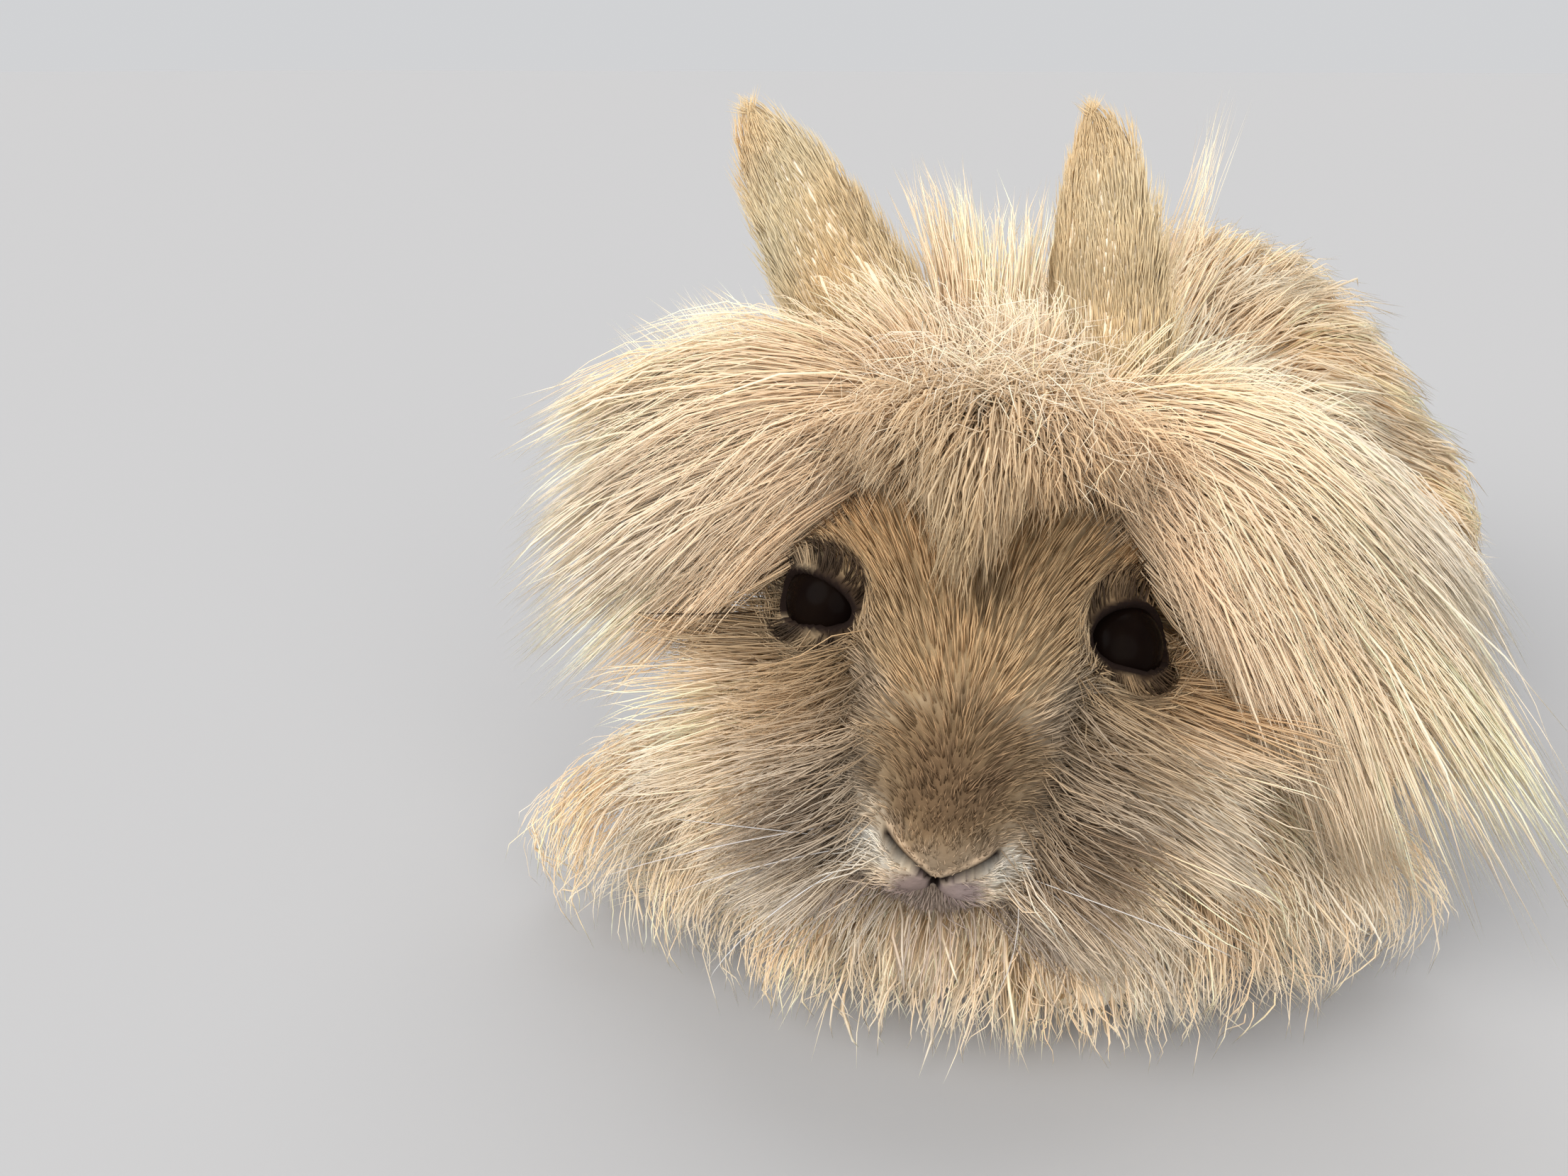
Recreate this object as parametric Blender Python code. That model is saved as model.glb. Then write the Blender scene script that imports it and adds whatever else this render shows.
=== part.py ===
"""A lionhead rabbit at rest, life size: a crouched body, a head turned to its left, upright ears, a mane and a long coat.

Metres, +Z up. The rabbit faces -Y and its left side is +X. The origin is on the floor under the middle of the trunk.
Forms of flesh are smooth unions of ellipsoids, and each node's core is drawn out from a centre to that surface.
The long coat is made of flat, tapered locks that lie over one another, each fused to the core that it grows from.
"""

import math
import random

import bmesh
import bpy
import numpy as np
from mathutils import Matrix, Vector
from mathutils.bvhtree import BVHTree

# Clearance between neighbouring nodes, and the height of the flats that the rabbit rests on
GAP = 0.0003
FLOOR = 0.0

# The head: its turn to the rabbit's left, nose-down pitch and tilt, and the middle of the skull
HEAD_TURN = math.radians(14)
HEAD_PITCH = math.radians(19)
HEAD_TILT = math.radians(6)
HEAD_CENTRE = Vector((-0.0132, -0.0931, 0.0753))
HEAD_MIDDLE = (0, -0.010, 0.001)
HEAD_BLEND = 0.007

# The eyes, their lids and the slit between the lids, in the head's frame
EYE_RADIUS = 0.0085
EYE_PLACE = Vector((0.0240, -0.0165, 0.0080))
EYE_LOOK = Vector((0.80, -0.55, 0.22)).normalized()
LID = 0.0017
SLIT_REACH = 0.0090
SLIT_RADII = (0.0074, 0.0050, 0.0080)

# The nose and the mouth, in the head's frame
NOSE = (0, -0.0565, -0.0035)
NOSE_RADII = (0.0065, 0.0035, 0.0045)
NOSTRIL = (0.0037, -0.0590, -0.0050)
NOSTRIL_RADII = (0.0034, 0.0026, 0.0008)
NOSTRIL_SLANT = math.radians(32)
UNDER_LIP = (0, -0.0480, -0.0220)
UNDER_LIP_RADII = (0.0060, 0.0060, 0.0040)
CLEFT = [(0, -0.060, -0.0085), (0, -0.060, -0.0120), (0, -0.058, -0.0160)]
MOUTH = [(0, -0.058, -0.0155), (0.005, -0.056, -0.0190), (0.010, -0.051, -0.0205), (0.0145, -0.044, -0.0205)]
MOUTH_LINE = 0.0008

# The forelegs and the ruff face the way the head does, from a point a little to the rabbit's right
FRONT_PLACE = Vector((-0.025, 0, 0))

# The trunk: its middle, the depth of the coat that is solid, and where the chest is parted from the torso
TRUNK_MIDDLE = (0, 0.030, 0.050)
TRUNK_BLEND = 0.020
TRUNK_COAT = 0.009
CHEST_CUT = -0.030

# The ears: where each springs from the skull, in the head's frame, and where its tip is, in the world
EAR_ROOT = Vector((0.0160, 0.0180, 0.0250))
EAR_TIPS = {"left": Vector((-0.0085, -0.0440, 0.1560)), "right": Vector((-0.0720, -0.0660, 0.1560))}
EAR_OPENING = {"left": Vector((0.30, 0.95, 0.0)), "right": Vector((-0.45, 0.88, 0.0))}
EAR_WIDTH = 0.031
EAR_CURL = math.radians(62)
EAR_WALL = 0.0030
EAR_ROWS = 7
EAR_COLUMNS = 6

HEAD_FRAME = (
    Matrix.Translation(HEAD_CENTRE)
    @ Matrix.Rotation(HEAD_TURN, 4, "Z")
    @ Matrix.Rotation(HEAD_PITCH, 4, "X")
    @ Matrix.Rotation(HEAD_TILT, 4, "Y")
)
FRONT_FRAME = Matrix.Translation(FRONT_PLACE) @ Matrix.Rotation(HEAD_TURN, 4, "Z")

CREAM = (0.62, 0.50, 0.34, 1)
TAN = (0.40, 0.27, 0.14, 1)
PALE = (0.70, 0.62, 0.50, 1)
SIDES = {"left": 1, "right": -1}

# A lock: how deep its root is sunk, and its stations as shares of its length, width and depth, up to a pointed tip
SUNK = 0.0040
LONG_LOCK = ((0.0, 0.60, 0.90), (0.30, 1.0, 1.0), (0.60, 0.85, 0.80), (0.82, 0.50, 0.55))
SHORT_LOCK = ((0.0, 0.65, 0.90), (0.38, 1.0, 1.0), (0.74, 0.62, 0.65))
SHORT_LENGTH = 0.050
LOCK_DEPTH = 0.0024
LIFT = 0.0016
LAYER = 0.0025
TRIES = 8

# The trunk's coat: how far it lies over the flesh from root to tip, and the rows of locks from front to back
COAT_SHARES = (0.0, 0.12, 0.35, 0.60, 1.0)
COAT_HEIGHTS = (0.0, 0.0085, 0.0115, 0.0140, 0.0180)
COAT_LENGTH = 0.064
COAT_WIDTH = 0.028
COAT_ROWS = 9
COAT_FIRST = math.radians(36)
COAT_LAST = math.radians(166)
COAT_SPREAD = math.radians(236)
COAT_AROUND = 10.5
TAIL_LOCKS = 7

# The ruff spread on the floor, in the front frame: its middle, where its locks end, and each ring of them as
# count, width, and at root, middle and tip the share of the ruff's reach and the height
RUFF_MIDDLE = (-0.004, -0.060)
RUFF_REACH = (0.105, 0.074)
RUFF_SPREAD = math.radians(232)
RUFF_RINGS = [
    (15, 0.024, ((0.55, 0.012), (0.78, 0.013), (1.00, 0.004))),
    (14, 0.023, ((0.50, 0.024), (0.70, 0.027), (0.92, 0.013))),
    (11, 0.023, ((0.36, 0.035), (0.54, 0.039), (0.78, 0.026))),
]
# The bib that hangs over the paws, as one more such ring on a narrower arc
BIB_SPREAD = math.radians(110)
BIB_RING = (8, 0.021, ((0.42, 0.0318), (0.80, 0.0316), (1.10, 0.0080)))

# The mane behind the head, in the head's frame: its middle, where its locks end, and each ring of them as
# count, width, and at root, middle and tip the share of the mane's reach and the place along the frame's Y
MANE_MIDDLE = (-0.003, 0.024, 0.0)
MANE_REACH = (0.092, 0.058)
MANE_SPREAD = math.radians(250)
MANE_RINGS = [
    (13, 0.025, ((0.46, 0.012), (0.68, 0.012), (0.90, 0.018))),
    (15, 0.025, ((0.50, 0.022), (0.76, 0.024), (1.00, 0.036))),
    (12, 0.025, ((0.50, 0.032), (0.72, 0.040), (0.92, 0.062))),
]
EAR_GAP_LOCKS = [
    [(-0.010, 0.030, 0.026), (-0.014, 0.044, 0.044), (-0.024, 0.064, 0.054)],
    [(-0.001, 0.030, 0.027), (-0.002, 0.048, 0.046), (-0.003, 0.070, 0.056)],
    [(0.022, 0.034, 0.024), (0.027, 0.066, 0.050), (0.032, 0.102, 0.066)],
]

# The head's long hair as guide locks from the skull to the tip, in the head's frame. Each fan runs from its
# first guide to its last, with the number of locks and their width.
FORELOCK = [
    [(-0.015, 0.006, 0.036), (-0.021, -0.008, 0.037), (-0.026, -0.017, 0.032), (-0.030, -0.023, 0.026)],
    [(-0.006, 0.007, 0.038), (-0.005, -0.014, 0.039), (-0.003, -0.027, 0.036), (-0.002, -0.036, 0.031)],
    [(0.006, 0.008, 0.038), (0.008, -0.005, 0.040), (0.014, -0.015, 0.036), (0.020, -0.018, 0.032)],
]
CURTAIN_RIGHT = [
    [(-0.020, 0.012, 0.032), (-0.048, 0.017, 0.034), (-0.070, 0.010, 0.023), (-0.092, -0.002, 0.012)],
    [(-0.021, 0.007, 0.032), (-0.044, 0.001, 0.032), (-0.063, -0.009, 0.019), (-0.083, -0.021, 0.002)],
    [(-0.022, 0.001, 0.031), (-0.038, -0.013, 0.029), (-0.053, -0.024, 0.014), (-0.076, -0.032, -0.006)],
    [(-0.022, -0.004, 0.029), (-0.038, -0.023, 0.019), (-0.048, -0.030, 0.004), (-0.058, -0.037, -0.013)],
]
CURTAIN_LEFT = [
    [(0.014, 0.004, 0.034), (0.028, -0.008, 0.033), (0.040, -0.022, 0.015), (0.062, -0.036, -0.014)],
    [(0.018, 0.008, 0.033), (0.036, -0.003, 0.032), (0.055, -0.016, 0.011), (0.079, -0.038, -0.034)],
    [(0.020, 0.012, 0.032), (0.046, 0.006, 0.030), (0.073, -0.008, 0.008), (0.106, -0.026, -0.021)],
    [(0.023, 0.010, 0.029), (0.047, 0.012, 0.031), (0.073, 0.006, 0.016), (0.096, -0.004, -0.004)],
]
CROWN = [
    [(-0.005, 0.013, 0.036), (-0.006, 0.017, 0.044), (-0.009, 0.026, 0.054)],
    [(0.005, 0.013, 0.036), (0.005, 0.018, 0.044), (0.004, 0.030, 0.054)],
]
# The puff of hair on the left cheek, from under the eye round to the chin
CHEEK = [
    [(0.027, -0.022, -0.003), (0.039, -0.024, 0.000), (0.054, -0.022, -0.002)],
    [(0.028, -0.020, -0.011), (0.043, -0.028, -0.010), (0.057, -0.032, -0.014)],
    [(0.025, -0.026, -0.018), (0.039, -0.038, -0.020), (0.052, -0.044, -0.026)],
    [(0.018, -0.032, -0.024), (0.028, -0.043, -0.029), (0.038, -0.050, -0.036)],
    [(0.008, -0.036, -0.027), (0.011, -0.044, -0.034), (0.014, -0.046, -0.042)],
]
CHEEK_RIGHT = [[(-x, y, z) for x, y, z in guide] for guide in CHEEK]
FANS = [
    (CROWN, 3, 0.010),
    (CHEEK, 9, 0.016),
    (CHEEK_RIGHT, 9, 0.016),
    (FORELOCK, 5, 0.015),
    (CURTAIN_RIGHT, 10, 0.023),
    (CURTAIN_LEFT, 12, 0.025),
]


def both_sides(centre, radii):
    """The same ellipsoid on the left and on the right of a frame's mid plane."""
    x, y, z = centre
    return [((x, y, z), radii), ((-x, y, z), radii)]


HEAD_FORMS = [
    ((0, 0.006, 0.006), (0.029, 0.033, 0.028)),
    ((0, -0.020, 0.002), (0.022, 0.030, 0.024)),
    ((0, -0.034, -0.001), (0.0165, 0.0200, 0.0165)),
    ((0, -0.042, -0.007), (0.0160, 0.0165, 0.0155)),
    ((0, -0.031, -0.018), (0.0130, 0.0180, 0.0110)),
    *both_sides((0.0095, -0.044, -0.0110), (0.0100, 0.0120, 0.0095)),
    *both_sides((0.0155, -0.010, -0.012), (0.0180, 0.0250, 0.0200)),
    *both_sides((0.0190, -0.013, 0.0100), (0.0100, 0.0140, 0.0105)),
]
NECK_FORMS = [((-0.003, 0.024, -0.004), (0.055, 0.022, 0.036))]
TRUNK_FORMS = [
    ((0, 0.004, 0.055), (0.052, 0.060, 0.050)),
    ((0, 0.052, 0.058), (0.060, 0.068, 0.058)),
    *both_sides((0.034, 0.048, 0.038), (0.028, 0.046, 0.036)),
]
RUFF_FORMS = [((-0.004, -0.060, 0.010), (0.066, 0.050, 0.034))]
# Forms of the left leg. Those of the foreleg are in the front frame.
FORELEG_FORMS = [
    ((0.0145, -0.086, 0.0140), (0.0150, 0.044, 0.0150)),
    ((0.0145, -0.117, 0.0125), (0.0165, 0.019, 0.0145)),
]
HINDLEG_FORMS = [
    ((0.058, 0.050, 0.036), (0.024, 0.044, 0.036)),
    ((0.060, 0.018, 0.012), (0.016, 0.040, 0.0140)),
]
TAIL_FORMS = [((0, 0.131, 0.046), (0.015, 0.017, 0.021))]


def distance_to(forms, blend, points):
    """Signed distance of each point to a smooth union of ellipsoids, all in one frame."""
    total = None
    for centre, radii in forms:
        offset = points - np.array(centre)
        near = np.linalg.norm(offset / np.array(radii), axis=1)
        steep = np.linalg.norm(offset / np.array(radii) ** 2, axis=1)
        one = near * (near - 1) / np.maximum(steep, 1e-6)
        if total is None:
            total = one
            continue
        share = np.clip(0.5 + 0.5 * (total - one) / blend, 0, 1)
        total = total * (1 - share) + one * share - blend * share * (1 - share)
    return total


def unit(vectors):
    return vectors / np.maximum(np.linalg.norm(vectors, axis=-1, keepdims=True), 1e-9)


def away_from(forms, blend, points):
    """The unit direction straight out of a smooth union at each point."""
    step = 0.0005
    slopes = [
        distance_to(forms, blend, points + axis) - distance_to(forms, blend, points - axis)
        for axis in np.eye(3) * step
    ]
    return unit(np.array(slopes).T)


def moved_to(height, forms, blend, points):
    """The points moved straight to a height over a smooth union. A height below zero is inside it."""
    for _ in range(4):
        over = distance_to(forms, blend, points) - height
        points = points - away_from(forms, blend, points) * over[:, None]
    return points


def drawn_out(name, forms, blend, centre, frame, rings, segments, grow=0.0):
    """A closed mesh: a sphere with its poles along the frame's Y, drawn out to where the forms end, grown a little."""
    mesh = bmesh.new()
    poles_on_y = Matrix.Rotation(math.radians(90), 4, "X")
    bmesh.ops.create_uvsphere(mesh, u_segments=segments, v_segments=rings, radius=1, matrix=poles_on_y)
    directions = np.array([vert.co.normalized() for vert in mesh.verts])
    low = np.zeros(len(directions))
    high = np.full(len(directions), 0.25)
    for _ in range(30):
        middle = (low + high) / 2
        inside = distance_to(forms, blend, np.array(centre) + directions * middle[:, None]) < grow
        low = np.where(inside, middle, low)
        high = np.where(inside, high, middle)
    for vert, direction, reach in zip(mesh.verts, directions, low):
        vert.co = frame @ (Vector(centre) + Vector(direction) * reach)
    bmesh.ops.triangulate(mesh, faces=mesh.faces)
    bmesh.ops.recalc_face_normals(mesh, faces=mesh.faces)
    return object_from(name, mesh)


def object_from(name, mesh):
    data = bpy.data.meshes.new(name)
    mesh.to_mesh(data)
    mesh.free()
    obj = bpy.data.objects.new(name, data)
    bpy.context.scene.collection.objects.link(obj)
    return obj


def joined(obj, pieces, operation, solver="EXACT"):
    """One Boolean of obj with all the pieces, applied. The pieces are removed, and only the largest surface is kept."""
    group = bpy.data.collections.new(obj.name + "_pieces")
    bpy.context.scene.collection.children.link(group)
    for piece in pieces:
        bpy.context.scene.collection.objects.unlink(piece)
        group.objects.link(piece)
    cut = obj.modifiers.new("join", "BOOLEAN")
    cut.operand_type = "COLLECTION"
    cut.collection = group
    cut.operation = operation
    cut.solver = solver
    bpy.context.view_layer.update()
    graph = bpy.context.evaluated_depsgraph_get()
    data = bpy.data.meshes.new_from_object(obj.evaluated_get(graph))
    if solver == "EXACT" and not is_closed(data):
        cut.solver = "MANIFOLD"
        bpy.context.view_layer.update()
        data = bpy.data.meshes.new_from_object(obj.evaluated_get(bpy.context.evaluated_depsgraph_get()))
    obj.modifiers.clear()
    obj.data = data
    for piece in pieces:
        bpy.data.objects.remove(piece)
    bpy.data.collections.remove(group)
    keep_largest(obj)
    return obj


def is_closed(data):
    """Whether every edge of a mesh lies between exactly two faces."""
    mesh = bmesh.new()
    mesh.from_mesh(data)
    closed = all(edge.is_manifold for edge in mesh.edges)
    mesh.free()
    return closed


def keep_largest(obj):
    """Keeps the surface with the most faces, so that a sealed hollow is filled and a loose scrap goes."""
    mesh = bmesh.new()
    mesh.from_mesh(obj.data)
    unseen = set(mesh.faces)
    surfaces = []
    while unseen:
        front = [unseen.pop()]
        surface = []
        while front:
            face = front.pop()
            surface.append(face)
            for edge in face.edges:
                for other in edge.link_faces:
                    if other in unseen:
                        unseen.remove(other)
                        front.append(other)
        surfaces.append(surface)
    surfaces.sort(key=len)
    for surface in surfaces[:-1]:
        bmesh.ops.delete(mesh, geom=surface, context="FACES")
    mesh.to_mesh(obj.data)
    mesh.free()


def trimmed(obj, point, normal):
    """Cuts away what lies on the normal's side of a plane and closes the cut with a flat face."""
    mesh = bmesh.new()
    mesh.from_mesh(obj.data)
    everything = mesh.verts[:] + mesh.edges[:] + mesh.faces[:]
    cut = bmesh.ops.bisect_plane(mesh, geom=everything, plane_co=point, plane_no=normal, clear_outer=True)
    rim = [part for part in cut["geom_cut"] if isinstance(part, bmesh.types.BMEdge)]
    bmesh.ops.contextual_create(mesh, geom=rim)
    bmesh.ops.triangulate(mesh, faces=mesh.faces)
    bmesh.ops.recalc_face_normals(mesh, faces=mesh.faces)
    mesh.to_mesh(obj.data)
    mesh.free()
    return obj


def grounded(obj):
    """Ends a form that reaches below the floor in a flat face on it."""
    return trimmed(obj, (0, 0, FLOOR), (0, 0, -1))


def copy_of(obj, name):
    twin = bpy.data.objects.new(name, obj.data.copy())
    bpy.context.scene.collection.objects.link(twin)
    return twin


def ball(name, centre, radii, frame, turn=Matrix(), segments=16, rings=10):
    """An ellipsoid in a frame, turned about its own centre."""
    mesh = bmesh.new()
    place = frame @ Matrix.Translation(centre) @ turn @ Matrix.Diagonal((*radii, 1))
    bmesh.ops.create_uvsphere(mesh, u_segments=segments, v_segments=rings, radius=1, matrix=place)
    bmesh.ops.recalc_face_normals(mesh, faces=mesh.faces)
    return object_from(name, mesh)


def lofted(name, rings):
    """A closed mesh through rings of points, each ring one loop, with a flat face at either end."""
    mesh = bmesh.new()
    loops = [[mesh.verts.new(point) for point in ring] for ring in rings]
    count = len(loops[0])
    for low, high in zip(loops, loops[1:]):
        for place in range(count):
            after = (place + 1) % count
            mesh.faces.new([low[place], low[after], high[after], high[place]])
    mesh.faces.new(loops[0])
    mesh.faces.new(loops[-1])
    bmesh.ops.triangulate(mesh, faces=mesh.faces)
    bmesh.ops.recalc_face_normals(mesh, faces=mesh.faces)
    return object_from(name, mesh)


def coloured(obj, colour, roughness=0.8):
    material = bpy.data.materials.new(obj.name)
    material.use_nodes = True
    shader = material.node_tree.nodes["Principled BSDF"]
    shader.inputs["Base Color"].default_value = colour
    shader.inputs["Roughness"].default_value = roughness
    obj.data.materials.clear()
    obj.data.materials.append(material)
    return obj


def head_form(name, grow=0.0):
    return drawn_out(name, HEAD_FORMS, HEAD_BLEND, HEAD_MIDDLE, HEAD_FRAME, 20, 24, grow)


def trunk_form(name):
    return drawn_out(name, TRUNK_FORMS, TRUNK_BLEND, TRUNK_MIDDLE, Matrix(), 18, 20, TRUNK_COAT)


def ruff_form(name):
    return drawn_out(name, RUFF_FORMS, 0.02, RUFF_FORMS[0][0], FRONT_FRAME, 10, 20)


def neck_form(name, grow=0.0):
    return drawn_out(name, NECK_FORMS, 0.02, NECK_FORMS[0][0], HEAD_FRAME, 10, 20, grow)


def leg_form(name, forms, centre, frame, side, grow=0.0):
    mirrored = [((side * x, y, z), radii) for (x, y, z), radii in forms]
    return drawn_out(name, mirrored, 0.010, (side * centre[0], *centre[1:]), frame, 10, 12, grow)


def foreleg_form(name, side, grow=0.0):
    return leg_form(name, FORELEG_FORMS, (0.0165, -0.094, 0.014), FRONT_FRAME, side, grow)


def hindleg_form(name, side, grow=0.0):
    return leg_form(name, HINDLEG_FORMS, (0.058, 0.036, 0.020), Matrix(), side, grow)


def tail_form(name, grow=0.0):
    return drawn_out(name, TAIL_FORMS, 0.01, TAIL_FORMS[0][0], Matrix(), 8, 12, grow)


def eye_ball(name, side, grow=0.0, segments=14, rings=8):
    place = Vector((side * EYE_PLACE.x, EYE_PLACE.y, EYE_PLACE.z))
    radius = EYE_RADIUS + grow
    return ball(name, place, (radius, radius, radius), HEAD_FRAME, segments=segments, rings=rings)


def eye_slit(name, side):
    """The opening between the lids: an almond whose long way runs from front to back and a little down."""
    look = Vector((side * EYE_LOOK.x, EYE_LOOK.y, EYE_LOOK.z))
    place = Vector((side * EYE_PLACE.x, EYE_PLACE.y, EYE_PLACE.z)) + look * SLIT_REACH
    long_way = Vector((side * 0.55, 0.80, -0.12))
    long_way = (long_way - look * long_way.dot(look)).normalized()
    high_way = look.cross(long_way)
    turn = Matrix((long_way, high_way, look)).transposed().to_4x4()
    return ball(name, place, SLIT_RADII, HEAD_FRAME, turn, 14, 8)


def groove(name, places):
    """A thin closed tube that follows the head's surface through the places, to be cut out of it."""
    path = moved_to(0, HEAD_FORMS, HEAD_BLEND, np.array(places))
    away = away_from(HEAD_FORMS, HEAD_BLEND, path)
    along = unit(np.gradient(path, axis=0))
    across = np.cross(along, away)
    rings = []
    for place, out, side in zip(path, away, across):
        corners = [side, out, -side, -out]
        rings.append([HEAD_FRAME @ Vector(place + corner * MOUTH_LINE) for corner in corners])
    return lofted(name, rings)


def nostril(name, side):
    slant = Matrix.Rotation(-side * NOSTRIL_SLANT, 4, "Y")
    return ball(name, (side * NOSTRIL[0], *NOSTRIL[1:]), NOSTRIL_RADII, HEAD_FRAME, slant, 10, 6)


def ear_section(word, share, depth, clearance=0.0):
    """The points across one ear at a share of its length, a depth outside the cup, and its opening's direction."""
    root = HEAD_FRAME @ Vector((SIDES[word] * EAR_ROOT.x, EAR_ROOT.y, EAR_ROOT.z))
    axis = EAR_TIPS[word] - root
    length = axis.length
    axis.normalize()
    opening = (EAR_OPENING[word] - axis * EAR_OPENING[word].dot(axis)).normalized()
    across = axis.cross(opening)
    width = EAR_WIDTH * (0.84 + 1.32 * share) * (1 - share) ** 0.62 + 0.002
    curl = EAR_CURL * (1.25 - 0.45 * share)
    radius = width / (2 * curl)
    curl += clearance / radius
    lean = root + axis * (length * share) - opening * (0.10 * length * share * (1 - share))
    points = []
    for column in range(EAR_COLUMNS + 1):
        along = 2 * column / EAR_COLUMNS - 1
        reach = radius + depth * (1 - 0.55 * abs(along)) + clearance
        sideways = across * (math.sin(curl * along) * reach)
        points.append(lean + sideways - opening * (math.cos(curl * along) * reach - radius))
    return points, opening


def ear_form(name, word):
    """A leaf of skin rolled into a cup about its own axis, from the skull to the tip, as one closed wall."""
    rings = []
    for row in range(EAR_ROWS + 1):
        outer, _ = ear_section(word, row / EAR_ROWS, EAR_WALL)
        inner, _ = ear_section(word, row / EAR_ROWS, 0)
        rings.append(outer + inner[::-1])
    return lofted(name, rings)


def ear_space(name, word):
    """The room that an ear needs in the mane: the cup with its hollow closed, and the clearance round it."""
    rings = []
    for row in range(EAR_ROWS + 1):
        outer, opening = ear_section(word, row / EAR_ROWS, EAR_WALL, 2 * GAP)
        rings.append(outer + [outer[-1] + opening * 2 * GAP, outer[0] + opening * 2 * GAP])
    return lofted(name, rings)


class Coat:
    """The locks of every node. A new lock is lifted, shortened and narrowed until it is clear of the other nodes."""

    def __init__(self, cores):
        self.cores = cores
        self.locks = {node: [] for node in cores}
        self.trees = {node: [self.tree_of(core.data)] for node, core in cores.items()}
        self.draw = random.Random(7)

    @staticmethod
    def tree_of(data):
        points = [vert.co for vert in data.vertices]
        return BVHTree.FromPolygons(points, [face.vertices for face in data.polygons])

    def varied(self, size, share=0.12):
        return size * (1 + self.draw.uniform(-share, share))

    def grow(self, node, spine, outs, width, depth=LOCK_DEPTH, lift=LIFT):
        """Adds a lock along a spine of points, with the direction that its broad side faces at each point."""
        spine = np.array(spine)
        outs = unit(np.array(outs))
        places = np.linspace(0, 1, len(spine))
        level = FLOOR + GAP * self.draw.uniform(1, 3)
        length = np.linalg.norm(np.diff(spine, axis=0), axis=1).sum()
        form = SHORT_LOCK if length < SHORT_LENGTH else LONG_LOCK
        others = [tree for name, trees in self.trees.items() if name != node for tree in trees]
        for tried in range(TRIES):
            shares = np.array([share for share, _, _ in form] + [1.0]) * 0.93**tried
            points = np.array([np.interp(shares, places, spine[:, axis]) for axis in range(3)]).T
            faces = unit(np.array([np.interp(shares, places, outs[:, axis]) for axis in range(3)]).T)
            points = points + faces * (lift * tried * shares)[:, None]
            sizes = (width * 0.95**tried, depth, level)
            roomy = blade(node + "_lock", form, points, faces, sizes, 1.5 * GAP)
            around = self.tree_of(roomy.data)
            bpy.data.objects.remove(roomy)
            if not any(tree.overlap(around) for tree in others):
                lock = blade(node + "_lock", form, points, faces, sizes)
                self.locks[node].append(lock)
                self.trees[node].append(self.tree_of(lock.data))
                return

    def fuse(self):
        for node, locks in self.locks.items():
            if locks:
                joined(self.cores[node], locks, "UNION")


def blade(name, form, points, faces, sizes, clearance=0.0):
    """One flat lock: three-sided, widest a third of the way along, with its tip in a point."""
    width, depth, level = sizes
    mesh = bmesh.new()
    along = unit(np.gradient(points, axis=0))
    rings = []
    for point, way, face, (_, breadth, thick) in zip(points, along, faces, form):
        face = face - way * face.dot(way)
        face = face / np.linalg.norm(face)
        side = np.cross(way, face) * (width * breadth / 2 + 2 * clearance)
        low = point - face * clearance
        ridge = point + face * (depth * thick + clearance)
        rings.append([mesh.verts.new(above(level, corner)) for corner in (low + side, low - side, ridge)])
    tip = mesh.verts.new(above(level, points[-1] + along[-1] * clearance))
    for near, far in zip(rings, rings[1:]):
        for place in range(3):
            after = (place + 1) % 3
            mesh.faces.new([near[place], near[after], far[after], far[place]])
    mesh.faces.new(rings[0])
    for place in range(3):
        mesh.faces.new([rings[-1][place], rings[-1][(place + 1) % 3], tip])
    bmesh.ops.triangulate(mesh, faces=mesh.faces)
    bmesh.ops.recalc_face_normals(mesh, faces=mesh.faces)
    return object_from(name, mesh)


def above(level, place):
    return (place[0], place[1], max(place[2], level))


def smooth_spine(places, count=9):
    """Points on the smooth curve through a few places, evenly spread along it."""
    places = np.array(places)
    steps = np.linalg.norm(np.diff(places, axis=0), axis=1)
    reach = np.append(0, np.cumsum(steps)) / steps.sum()
    curve = np.polyfit(reach, places, len(places) - 1)
    shares = np.linspace(0, 1, count)
    return sum(term * shares[:, None] ** (len(curve) - 1 - power) for power, term in enumerate(curve))


def in_world(frame, points):
    return np.array([frame @ Vector(point) for point in points])


def turned(frame, vectors):
    return np.array([frame.to_3x3() @ Vector(vector) for vector in vectors])


BODY_FORMS = TRUNK_FORMS + HINDLEG_FORMS + [((-x, y, z), radii) for (x, y, z), radii in HINDLEG_FORMS]


def lie_of_coat(points):
    """The way the trunk's hair lies: backward, and down the flanks."""
    sideways = np.abs(points[:, 0]) / np.hypot(points[:, 0], points[:, 2] - TRUNK_MIDDLE[2])
    return np.stack([points[:, 0] * 4, np.ones(len(points)), -0.30 - 0.75 * sideways], axis=1)


def coat_roots():
    """The trunk's roots, in rows from front to back, staggered, as directions from its middle."""
    directions = []
    for row in range(COAT_ROWS):
        back = COAT_FIRST + (COAT_LAST - COAT_FIRST) * row / (COAT_ROWS - 1)
        count = max(4, round(COAT_AROUND * math.sin(back)))
        for place in range(count):
            around = COAT_SPREAD * ((place + 0.25 + 0.5 * (row % 2)) / count - 0.5)
            out = math.sin(back)
            directions.append((out * math.sin(around), -math.cos(back), out * math.cos(around)))
    return np.array(directions)


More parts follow.
